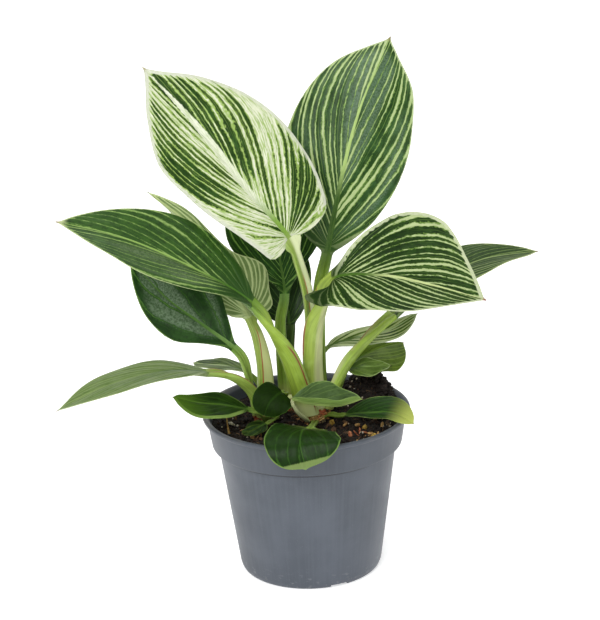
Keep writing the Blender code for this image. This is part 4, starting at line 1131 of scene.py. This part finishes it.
def pot_profile():
    """Outside upward, then inside downward, as (radius, height)."""
    band_low = POT_HEIGHT - BAND_HEIGHT
    floor = FOOT_HEIGHT + FLOOR_THICKNESS
    w = POT_WALL
    return [
        (0.0, FOOT_HEIGHT - 0.6), (FOOT_INNER_RADIUS - 1.2, FOOT_HEIGHT - 0.6),
        (FOOT_INNER_RADIUS, 0.0), (FOOT_OUTER_RADIUS, 0.0), (FOOT_OUTER_RADIUS + 1.5, 0.9),
        (BODY_LOW_RADIUS, 3.6), (BODY_TOP_RADIUS, band_low - 1.0),
        (BODY_TOP_RADIUS + 0.6, band_low - 0.2),
        (BAND_LOW_RADIUS - 0.6, band_low), (BAND_LOW_RADIUS, band_low + 0.7),
        (BAND_TOP_RADIUS, POT_HEIGHT - 3.2), (RIM_RADIUS - 0.5, POT_HEIGHT - 2.4),
        (RIM_RADIUS, POT_HEIGHT - 1.8), (RIM_RADIUS, POT_HEIGHT - 0.5),
        (RIM_RADIUS - 0.5, POT_HEIGHT), (RIM_RADIUS - RIM_LIP - 0.5, POT_HEIGHT),
        (BAND_TOP_RADIUS - w, POT_HEIGHT - 1.8), (BAND_LOW_RADIUS - w, band_low + 1.6),
        (BODY_TOP_RADIUS - w, band_low - 0.4), (BODY_LOW_RADIUS - w, floor + 1.6),
        (BODY_LOW_RADIUS - w - 2.2, floor), (0.0, floor),
    ]


def ring_of(x, y, radius, turn, z):
    """Points of a level ring round a place; the radius may differ from point to point."""
    return stack(x + radius * np.cos(turn), y + radius * np.sin(turn), 0 * turn + z)


def turned(name, profile, segments):
    """A closed solid of revolution about the upright axis."""
    turn = full_turn(segments)
    rings = [ring_of(0.0, 0.0, r, turn, z) for r, z in profile[1:-1]]
    count = len(rings)
    j = np.arange(segments)
    k = (j + 1) % segments
    faces = []
    for i in range(count - 1):
        a = i * segments
        faces += stack(a + j, a + k, a + segments + k, a + segments + j).tolist()
    low, high = count * segments, count * segments + 1
    last = (count - 1) * segments
    faces += stack(k, j, 0 * j + low).tolist()
    faces += stack(last + j, last + k, 0 * j + high).tolist()
    points = np.concatenate(rings + [[[0, 0, profile[0][1]], [0, 0, profile[-1][1]]]])
    return add_mesh(name, points, faces, SHELL_ANGLE)


def box_at(angle, radius, size):
    """A box centred at the radius and turned to the angle; size is radial, across, up."""
    a = math.radians(angle)
    out = np.array([math.cos(a), math.sin(a), 0.0])
    side = np.array([-math.sin(a), math.cos(a), 0.0])
    corners = ((-0.5, -0.5), (0.5, -0.5), (0.5, 0.5), (-0.5, 0.5))
    points = [out * (radius + x * size[0]) + side * y * size[1] + np.array([0, 0, z * size[2]])
              for z in (-0.5, 0.5) for x, y in corners]
    faces = [(3, 2, 1, 0), (4, 5, 6, 7)] + [(i, (i + 1) % 4, (i + 1) % 4 + 4, i + 4) for i in range(4)]
    return add_mesh("cutter", points, faces)


def cut_out(obj, cutters):
    """Cut the cutters out of the object for good."""
    for cutter in cutters:
        modifier = obj.modifiers.new("cut", "BOOLEAN")
        modifier.operation = "DIFFERENCE"
        modifier.object = cutter
    bpy.context.view_layer.update()
    cooked = bpy.data.meshes.new_from_object(obj.evaluated_get(bpy.context.evaluated_depsgraph_get()))
    obj.modifiers.clear()
    obj.data = cooked
    obj.data.shade_smooth()
    obj.data.set_sharp_from_angle(angle=math.radians(SHELL_ANGLE))
    for cutter in cutters:
        bpy.data.objects.remove(cutter)


def make_pot():
    """The pot with its drain holes and the notches in its foot."""
    pot = turned("pot_shell", rounded(pot_profile()), POT_SEGMENTS)
    radius = 0.5 * (FOOT_INNER_RADIUS + FOOT_OUTER_RADIUS)
    cutters = [box_at(a, radius, (12.0, NOTCH_WIDTH, 2 * NOTCH_HEIGHT)) for a in NOTCH_ANGLES]
    for k in range(DRAIN_COUNT):
        a = 2.0 * math.pi * (k + 0.37) / DRAIN_COUNT
        drain = turned("drain", [(0, 0.5), (DRAIN_RADIUS, 0.5), (DRAIN_RADIUS, 6.0), (0, 6.0)], 24)
        drain.location = (DRAIN_RING * math.cos(a) * MM, DRAIN_RING * math.sin(a) * MM, 0.0)
        cutters.append(drain)
    cut_out(pot, cutters)
    pot.data.materials.clear()
    keep(pot, plastic(), "pot_plastic", "pot")


def plastic():
    """Satin blue-grey moulded plastic: fine specks, faint upright flow marks, a scuffed foot, a band
    darkened as painted shade and a painted shadow line under it.
    """
    tree = Tree("pot_plastic")
    place = tree.place()
    x, y, z = tree.parts(place)
    turn = tree.math("ARCTAN2", y, x)
    flow = tree.noise_at(tree.times(turn, 26.0), tree.times(z, 14.0), 0.0, 3.0)
    cloud = tree.noise(place, 34.0, 3.0, 0.55)
    speck = tree.noise(place, 1500.0, 2.0, 0.7)
    colour = tree.over((67, 73, 82), (77, 83, 93), cloud, 0.3, 0.7)
    colour = tree.over(colour, (84, 90, 99), flow, 0.35, 0.75, 0.35)
    colour = tree.over(colour, (106, 111, 118), speck, 0.62, 0.74, 0.35)
    scuff = tree.noise_at(tree.times(turn, 9.0), tree.times(z, 420.0), 3.0, 4.0, 0.65)
    low = tree.times(tree.step(z, 0.016, 0.002), tree.step(scuff, 0.56, 0.66, 0.0, 0.5))
    colour = tree.mix(low, colour, (124, 128, 132))
    # Painted shade: the band under the rim is darker than the body of the pot.
    colour = tree.over(colour, (60, 65, 73), z, 0.0755, 0.0775, 0.35)
    # Painted shadow: a dark line just under the band's lower edge.
    line_mask = tree.size(tree.minus(z, POT_SHADOW_LINE * MM))
    colour = tree.over(colour, (30, 33, 38), line_mask, 0.0014, 0.0007, 0.85)
    dust = tree.times(tree.step(z, 0.0935, 0.0958), tree.step(cloud, 0.4, 0.7, 0.0, 0.4))
    colour = tree.mix(dust, colour, (108, 102, 92))
    normal = tree.bump(tree.scaled(speck, 0.5, tree.times(flow, 0.8)), 0.22, 0.0002)
    return tree.finish(colour, tree.step(cloud, 0.3, 0.7, 0.50, 0.42), normal, 0.45)


# ---- soil ----------------------------------------------------------------------------------------
# Bits that lie where the photograph shows them: place and size.
TAN_BITS = (
    (36, -24, 4.0), (43, -14, 3.6), (29, -13, 4.2), (48, 2, 2.6), (-31, -22, 3.4), (-27, -19, 3.6),
    (32, -40, 4.6), (-24, -31, 3.0), (34, -28, 3.0), (40, -26, 3.2), (28, -35, 2.8), (22, -12, 3.4),
    (-37, -14, 2.4), (-33, -9, 2.8),
)
AMBER_CHIPS = ((14.5, -9.0, 7.0), (37.0, -31.0, 5.0), (33.0, -16.0, 4.6))
RUST_CHIPS = (
    (30, -20, 5.4), (27.5, -23, 4.8), (33, -22, 4.0), (24.5, -28, 4.6), (29, -26, 3.6), (47, 20, 4.0),
    (40, 24, 4.4), (-29, 4, 5.0),
)


def pot_inside(z):
    """Inner radius of the pot at height z."""
    inner = pot_profile()[POT_INSIDE][::-1]
    return float(np.interp(z, [p[1] for p in inner], [p[0] for p in inner]))


def soil_height(x, y):
    """Top of the soil: a flat bed, a heap at the back right and slight mounds."""
    hx, hy, tall, wide = SOIL_HEAP
    z = SOIL_LEVEL + tall * math.exp(-((x - hx) ** 2 + (y - hy) ** 2) / (2 * wide * wide))
    z += 1.2 * math.exp(-((x - 2) ** 2 + y * y) / 700.0)
    return z + 0.6 * math.sin(x * 0.19 + 1.0) * math.cos(y * 0.17 + 0.4)


def crumbly(x, y):
    """Soil height with clods and crumbs."""
    p = Vector((x, y, 0.0))
    z = soil_height(x, y) + 1.5 * noise.noise(p * 0.16) + 0.9 * noise.noise(p * 0.42)
    return z + 0.55 * noise.noise(p * 1.1) + 0.3 * noise.noise(p * 2.3)


def make_soil():
    """The potting mix: a lumpy top and a plain body down to the pot's floor."""
    segments, rings = 200, 56
    turn = full_turn(segments)
    points = [(0.0, 0.0, crumbly(0.0, 0.0))]
    for i in range(1, rings):
        r = (pot_inside(SOIL_LEVEL) - SOIL_GAP) * (i / (rings - 1))
        for a in turn:
            x, y = r * math.cos(a), r * math.sin(a)
            z = min(crumbly(x, y), POT_HEIGHT - 3.0) if i == rings - 1 else crumbly(x, y)
            points.append((x, y, z))
    floor = FOOT_HEIGHT + FLOOR_THICKNESS + SOIL_GAP
    levels = (POT_HEIGHT - BAND_HEIGHT - 0.6, 40.0, floor + 1.8, floor)
    for z in levels:
        r = pot_inside(z) - SOIL_GAP
        points += [(r * math.cos(a), r * math.sin(a), z) for a in turn]
    points.append((0.0, 0.0, floor))
    n = segments
    faces = [(0, 1 + k, 1 + (k + 1) % n) for k in range(n)]
    for i in range(rings - 2 + len(levels)):
        a, b = 1 + i * n, 1 + (i + 1) * n
        faces += [(a + k, b + k, b + (k + 1) % n, a + (k + 1) % n) for k in range(n)]
    last = 1 + (rings - 2 + len(levels)) * n
    faces += [(last + k, len(points) - 1, last + (k + 1) % n) for k in range(n)]
    soil = add_mesh("soil_bed", points, faces, 60.0)
    keep(soil, peat("peat", (20, 16, 14), (42, 33, 27)), "peat", "soil")


def peat(name, dark, light):
    """Damp dark peat: grains at two sizes and a few paler fibres."""
    tree = Tree(name)
    place = tree.place()
    grain = tree.noise(place, 900.0, 4.0, 0.65)
    clod = tree.noise(place, 240.0, 3.0, 0.6)
    colour = tree.over(dark, light, grain, 0.35, 0.72)
    colour = tree.over(colour, np.array(light) * 1.5, clod, 0.62, 0.72, 0.5)
    normal = tree.bump(grain, 0.9, 0.0008)
    normal = tree.bump(clod, 0.7, 0.002, normal)
    return tree.finish(colour, tree.step(grain, 0.3, 0.7, 0.95, 0.75), normal, 0.3)


def lump(level):
    """Points and triangles of a small round lump, one across."""
    work = bmesh.new()
    bmesh.ops.create_icosphere(work, subdivisions=level, radius=0.5)
    points = np.array([v.co[:] for v in work.verts])
    faces = np.array([[v.index for v in f.verts] for f in work.faces])
    work.free()
    return points, faces


def scatter(name, spots, sizes, shape, level, seed, roughness):
    """Many irregular lumps in one mesh; shape squashes each along its own axes."""
    rng = np.random.default_rng(seed)
    base, base_faces = lump(level)
    points = []
    faces = []
    for spot, size in zip(spots, sizes):
        turn = np.array(Matrix.Rotation(rng.uniform(0, 6.28), 3, Vector(unit(rng.normal(size=3)))))
        form = base * (1.0 + roughness * rng.normal(size=(len(base), 1)))
        form = form * np.array(shape) * rng.uniform(0.75, 1.25, 3) * size
        faces.append(base_faces + len(base) * len(points))
        points.append(form @ turn.T + np.array(spot))
    return add_mesh(name, np.concatenate(points), np.concatenate(faces).tolist(), 40.0)


def soil_spots(count, seed, reach, raise_by):
    """Random places on the soil, clear of the pot's wall."""
    rng = np.random.default_rng(seed)
    r = reach * np.sqrt(rng.uniform(0.0, 1.0, count))
    a = rng.uniform(0.0, 6.283, count)
    return [(x, y, crumbly(x, y) + raise_by) for x, y in zip(r * np.cos(a), r * np.sin(a))]


def heap_spots(count, seed):
    """Random places on the heap at the back right."""
    rng = np.random.default_rng(seed)
    x = SOIL_HEAP[0] + rng.normal(0, 9.0, count)
    y = SOIL_HEAP[1] + rng.normal(0, 9.0, count)
    r = np.hypot(x, y)
    pull = np.minimum(1.0, 50.0 / np.maximum(r, 1.0))
    return [(a * p, b * p, crumbly(a * p, b * p) + 0.5) for a, b, p in zip(x, y, pull)]


def shoulder_spots(count, seed):
    """Random places where the heap leans on the rim at the back right."""
    rng = np.random.default_rng(seed)
    a = np.radians(rng.uniform(8.0, 52.0, count))
    r = rng.uniform(46.0, 54.6, count)
    lift = rng.uniform(0.0, 1.0, count) ** 1.5 * 8.0 * np.sin((np.degrees(a) - 4.0) / 56.0 * math.pi)
    lift *= np.minimum(1.0, (56.0 - r) / 7.0)
    x, y = r * np.cos(a), r * np.sin(a)
    return [(p, q, crumbly(p, q) + 0.6 + h) for p, q, h in zip(x, y, lift)]


def loose(name, spots, sizes, shape, seed, material, level=2, roughness=0.10):
    """Lumps of one material lying on the soil."""
    keep(scatter(name, spots, sizes, shape, level, seed, roughness), material, "peat")


def make_crumbs():
    """Loose peat on the bed, in fine and coarse crumbs, thicker on the heap."""
    rng = np.random.default_rng(5)
    spots = soil_spots(1500, 11, 52.0, 0.2)
    sizes = rng.uniform(0.8, 1.9, len(spots))
    fine = peat("soil_crumbs_fine", (26, 20, 17), (74, 50, 36))
    loose("soil_crumbs_fine", spots, sizes, (1, 1, 0.8), 21, fine, 1, 0.28)
    spots = soil_spots(320, 12, 51.0, 0.5) + heap_spots(130, 13) + shoulder_spots(260, 14)
    sizes = rng.uniform(2.0, 4.4, len(spots))
    coarse = peat("soil_crumbs_coarse", (20, 16, 14), (46, 35, 28))
    loose("soil_crumbs_coarse", spots, sizes, (1, 0.8, 0.7), 22, coarse, 2, 0.12)


def dry(name, dark, light, rough=0.8):
    """Dry plant matter or mineral: two tones in streaks."""
    tree = Tree(name)
    grain = tree.noise(tree.place(), 700.0, 3.0, 0.6)
    colour = tree.over(dark, light, grain, 0.35, 0.7)
    normal = tree.bump(grain, 0.5, 0.0004)
    return tree.finish(colour, tree.step(grain, 0.3, 0.7, rough, rough - 0.12), normal, 0.35)


def on_soil(places, raise_by):
    """Chosen places on the soil; each may have its size as a third number."""
    return [(place[0], place[1], crumbly(*place[:2]) + raise_by) for place in places]


def placed(name, bits, raise_by, shape, seed, material, level=2, roughness=0.10):
    """Lumps of one material at their places; each bit is a place and a size."""
    sizes = [bit[2] for bit in bits]
    loose(name, on_soil(bits, raise_by), sizes, shape, seed, material, level, roughness)


def make_chips():
    """Bark chips and white perlite strewn on the soil, and tan, amber and rust bits at their places."""
    rng = np.random.default_rng(9)
    spots = soil_spots(46, 31, 50.0, 0.9) + heap_spots(8, 32)
    bark = dry("bark", (58, 40, 26), (104, 76, 48))
    loose("bark_chips", spots, rng.uniform(2.5, 6.0, len(spots)), (1, 0.5, 0.22), 33, bark)
    spots = soil_spots(70, 41, 51.0, 0.9) + heap_spots(16, 42)
    sizes = np.concatenate([rng.uniform(0.7, 1.6, len(spots)), [3.3, 1.8, 2.0]])
    spots += on_soil([(-43.0, -3.0), (44.0, -17.0), (31.0, -24.0)], 1.4)
    white = dry("perlite", (170, 156, 132), (232, 228, 214), 0.7)
    loose("perlite", spots, sizes, (1, 0.9, 0.8), 43, white)
    tan = dry("tan_bits", (150, 108, 58), (206, 170, 112))
    placed("tan_bits", TAN_BITS, 1.2, (1, 0.6, 0.35), 44, tan)
    amber = dry("amber_chips", (134, 98, 26), (196, 168, 84))
    placed("amber_chips", AMBER_CHIPS, 1.2, (1, 0.7, 0.4), 47, amber, 3, 0.05)
    rust = dry("rust_chips", (142, 70, 40), (202, 140, 100))
    placed("rust_chips", RUST_CHIPS, 1.0, (1, 0.42, 0.2), 48, rust)


def make_flakes():
    """Dried brown scraps of old sheaths round the foot of the three crowns."""
    rng = np.random.default_rng(61)
    spots = []
    for x, y, radius, _ in STEMS.values():
        for a in rng.uniform(0.0, 6.283, int(4 * radius)):
            r = radius + rng.uniform(0.4, 1.8)
            spots.append((x + r * math.cos(a), y + r * math.sin(a), rng.uniform(90.0, 95.5)))
    half = len(spots) // 2
    for name, some, dark, light, seed in (
            ("sheath_scraps", spots[:half], (122, 78, 38), (196, 150, 92), 62),
            ("sheath_scraps_red", spots[half:], (110, 46, 26), (172, 92, 54), 63)):
        sizes = rng.uniform(2.6, 5.0, len(some))
        loose(name, some, sizes, (1, 0.4, 0.14), seed, dry(name, dark, light), 2, 0.12)


def make_strips():
    """Dried tan and rust-coloured strips of old sheaths wound round the front of the main crown."""
    rng = np.random.default_rng(71)
    x, y, radius, _ = STEMS["stem_main"]
    parts = {"sheath_strips": [], "sheath_strips_red": []}
    for k in range(11):
        start = rng.uniform(195.0, 290.0)
        angles = np.radians(np.linspace(start, start + rng.uniform(35.0, 80.0), 12))
        level = rng.uniform(90.5, 96.5)
        z = level + rng.uniform(-2.0, 2.0) * np.linspace(-1.0, 1.0, 12) + 0.5 * np.sin(3.0 * angles + k)
        r = radius + 0.5 + rng.uniform(0.0, 1.2) + 0.3 * np.sin(4.0 * angles + 2 * k)
        path = stack(x + r * np.cos(angles), y + r * np.sin(angles), z)
        wide = rng.uniform(0.35, 0.8) * np.sin(np.linspace(0.25, 2.9, 12)) ** 0.5
        parts["sheath_strips" if k % 3 else "sheath_strips_red"].append(tube(path, wide, 8))
    for name, dark, light in (("sheath_strips", (150, 112, 60), (206, 176, 112)),
                              ("sheath_strips_red", (134, 60, 34), (186, 106, 62))):
        keep(joined(name, parts[name]), dry(name, dark, light), "peat")


def tube(path, radii, sides):
    """Points and faces of a thin closed tube along a path."""
    path = np.asarray(path, float)
    way = unit(np.gradient(path, axis=0))
    side = unit(np.cross(way, (0.31, 0.22, 0.92)))
    up = np.cross(side, way)
    turn = np.linspace(0.0, 6.2832, sides, endpoint=False)
    ring = side[:, None] * np.cos(turn)[None, :, None] + up[:, None] * np.sin(turn)[None, :, None]
    points = (path[:, None] + ring * np.asarray(radii)[:, None, None]).reshape(-1, 3)
    points = np.concatenate([points, [path[0], path[-1]]])
    return points, ring_faces(len(path), sides)


def joined(name, parts):
    """Several (points, faces) in one mesh."""
    faces = []
    start = 0
    for points, own in parts:
        faces += [[i + start for i in face] for face in own]
        start += len(points)
    return add_mesh(name, np.concatenate([points for points, own in parts]), faces)


def make_fibres():
    """Fine brown rootlets in the soil and one tan sliver standing at the front left."""
    rng = np.random.default_rng(15)
    parts = []
    for x, y, z in soil_spots(60, 51, 47.0, 0.6):
        a = rng.uniform(0, 6.28)
        size = rng.uniform(3.0, 8.0)
        bend = rng.normal(0, 0.25, 2)
        steps = np.linspace(-0.5, 0.5, 7)
        path = [(x + size * (k * math.cos(a) - bend[0] * k * k * math.sin(a)),
                 y + size * (k * math.sin(a) + bend[0] * k * k * math.cos(a)),
                 z + size * 0.5 * (0.12 - k * k) * (1 + bend[1])) for k in steps]
        parts.append(tube(path, np.full(7, rng.uniform(0.12, 0.26)), 5))
    keep(joined("rootlets", parts), dry("rootlets", (74, 54, 36), (122, 94, 62)), "peat")
    path = spline([(-44.3, -17.0, 87.5), (-45.0, -17.2, 93.0), (-45.6, -17.2, 100.5)], 6)
    sliver = joined("tan_sliver", [tube(path, np.linspace(0.8, 0.25, len(path)), 8)])
    keep(sliver, dry("tan_sliver", (150, 112, 58), (206, 172, 104)), "peat")


# ---- stems ---------------------------------------------------------------------------------------
def make_stem(name, x, y, radius, top):
    """A short crown with leaf-scar rings, slightly uneven all round."""
    segments = 56
    low = STEM_BOTTOM + 6.0
    heights = np.linspace(low, top, 44)
    turn = full_turn(segments)
    rings = []
    for z in heights:
        k = (z - low) / (top - low)
        notch = math.exp(-((math.fmod(z, 4.4) - 2.2) / 0.35) ** 2)
        scar = 0.05 * math.cos((z - low) * 1.25) - 0.05 * notch
        body = 0.93 + scar - 0.38 * max(0.0, (k - 0.84) / 0.16) ** 2.2
        uneven = np.array([noise.noise(Vector((math.cos(a) * 2, math.sin(a) * 2, z * 0.12 + x)))
                           for a in turn])
        r = np.minimum(radius * (body + 0.05 * uneven), radius)
        rings.append(ring_of(x, y, r, turn, z))
    points = np.concatenate(rings + [[(x, y, low), (x, y, top)]])
    stem = add_mesh(name.replace("stem", "crown"), points, ring_faces(len(rings), segments))
    keep(stem, crown(name + "_skin"), "stem_green", name)


def crown(name):
    """Crown skin: pale green above, lightened further as painted light, an orange-red leaf scar round
    it, brown and ringed below.
    """
    tree = Tree(name)
    place = tree.place()
    x, y, z = tree.parts(place)
    patch = tree.noise(place, 180.0, 3.0, 0.6)
    lines = tree.noise_at(tree.times(x, 900.0), y, tree.times(z, 60.0), 3.0)
    height = tree.scaled(patch, 0.008, z)
    # The pale green above is the crown's own tone, lightened further as painted light where the leaves
    # shade it.
    colour = tree.over((112, 74, 38), (206, 216, 150), height, 0.0985, 0.1015)
    colour = tree.over(colour, (212, 212, 160), lines, 0.4, 0.7, 0.4)
    scar = tree.size(tree.minus(height, 0.1000))
    colour = tree.over(colour, (168, 70, 34), scar, 0.0014, 0.0006, 0.9)
    ring = tree.size(tree.math("SINE", tree.times(height, 1430.0)))
    ring = tree.times(tree.step(ring, 0.24, 0.04, 0.0, 0.8), tree.step(height, 0.099, 0.098))
    colour = tree.mix(ring, colour, (60, 34, 18))
    normal = tree.bump(patch, 0.4, 0.0006)
    return tree.finish(colour, tree.step(patch, 0.3, 0.7, 0.62, 0.48), normal, 0.4)


# ---- stage ---------------------------------------------------------------------------------------
# The photograph's camera, in degrees, millimetres and metres.
CAMERA_PITCH = 18.9
CAMERA_ROLL = 2.06
CAMERA_LENS = 130.8
CAMERA_PLACE = (-0.0015, -1.2115, 0.5710)


def make_floor():
    """A pale floor that rises far behind into a backdrop."""
    across = np.linspace(-6.0, 6.0, 5)
    deep = [(-4.0, 0.0), (5.0, 0.0)] + [(5.0 + math.sin(a) * 1.5, 1.5 - math.cos(a) * 1.5)
                                       for a in np.linspace(0.1, math.pi / 2, 10)] + [(6.5, 5.0)]
    points = [(x / MM, y / MM, z / MM) for y, z in deep for x in across]
    w = len(across)
    faces = [(i * w + j, i * w + j + 1, (i + 1) * w + j + 1, (i + 1) * w + j)
             for i in range(len(deep) - 1) for j in range(w - 1)]
    floor = add_mesh("floor", points, faces)
    tree = Tree("floor")
    colour = tree.mix(tree.noise(tree.place(), 3.0), (240, 240, 240), (243, 243, 243))
    tree.shader.inputs["Emission Color"].default_value = (1.0, 1.0, 1.0, 1.0)
    tree.shader.inputs["Emission Strength"].default_value = 0.52
    floor.data.materials.append(tree.finish(colour, 0.9, None, 0.1))


def add_light(name, place, target, size, power):
    """A soft square lamp that looks at the target."""
    data = bpy.data.lights.new(name, "AREA")
    data.shape = "SQUARE"
    data.size = size
    data.energy = power
    lamp = bpy.data.objects.new(name, data)
    bpy.context.scene.collection.objects.link(lamp)
    lamp.location = place
    way = Vector(target) - Vector(place)
    lamp.rotation_euler = way.to_track_quat("-Z", "Y").to_euler()


def make_light():
    """Soft studio light, a little stronger from the upper left."""
    middle = (0.0, 0.0, 0.15)
    add_light("key", (-0.6, -1.6, 1.5), middle, 1.2, 31.0)
    add_light("fill", (1.3, -1.5, 1.0), middle, 1.4, 5.0)
    add_light("top", (0.0, 0.4, 2.0), middle, 1.6, 14.0)
    world = bpy.data.worlds.new("studio")
    world.use_nodes = True
    world.node_tree.nodes["Background"].inputs[0].default_value = (1.0, 1.0, 1.0, 1.0)
    world.node_tree.nodes["Background"].inputs[1].default_value = 0.42
    bpy.context.scene.world = world
    bpy.context.scene.view_settings.view_transform = "Standard"


def make_camera():
    """The photograph's view: from the front, above, through a long lens."""
    pitch, roll = math.radians(CAMERA_PITCH), math.radians(CAMERA_ROLL)
    forward = Vector((0.0, math.cos(pitch), -math.sin(pitch)))
    right = Vector((1.0, 0.0, 0.0))
    above = right.cross(forward)
    x = math.cos(roll) * right - math.sin(roll) * above
    y = math.sin(roll) * right + math.cos(roll) * above
    data = bpy.data.cameras.new("camera")
    data.sensor_fit = "VERTICAL"
    data.sensor_height = 36.0
    data.lens = CAMERA_LENS
    data.clip_end = 50.0
    camera = bpy.data.objects.new("camera", data)
    bpy.context.scene.collection.objects.link(camera)
    turn = Matrix((x, y, -forward)).transposed().to_4x4()
    camera.matrix_world = Matrix.Translation(CAMERA_PLACE) @ turn
    bpy.context.scene.camera = camera


# ---- the whole scene -----------------------------------------------------------------------------
# Leaves with mostly pale blades, and how far a leaf's box may lie from its CAD leaf's.
PALE_LEAVES = ("leaf_upper_left", "leaf_behind_left", "leaf_pale_right")
LEAF_DRIFT = 4.0


def check_box(obj, node):
    """Stops if a leaf has drifted from the CAD leaf it stands for."""
    points = np.array([v.co[:] for v in obj.data.vertices])
    low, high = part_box(node)
    drift = np.abs([points.min(0) - np.array(low), points.max(0) - np.array(high)]).max()
    if drift > LEAF_DRIFT * MM:
        raise SystemExit(f"{node} is {drift / MM:.1f} mm off its CAD leaf")


def main():
    """The whole plant, its floor, light and camera."""
    make_pot()
    make_soil()
    make_crumbs()
    make_chips()
    make_flakes()
    make_strips()
    make_fibres()
    for name, values in STEMS.items():
        make_stem(name, *values)
    for name, spec in LEAVES.items():
        leaf = make_leaf("blade_" + name[5:], spec, {**BASE_LOOK, **LOOKS[name]})
        check_box(leaf, name)
        keep(leaf, None, "leaf_pale" if name in PALE_LEAVES else "leaf_dark", name)
    make_floor()
    make_light()
    make_camera()


main()
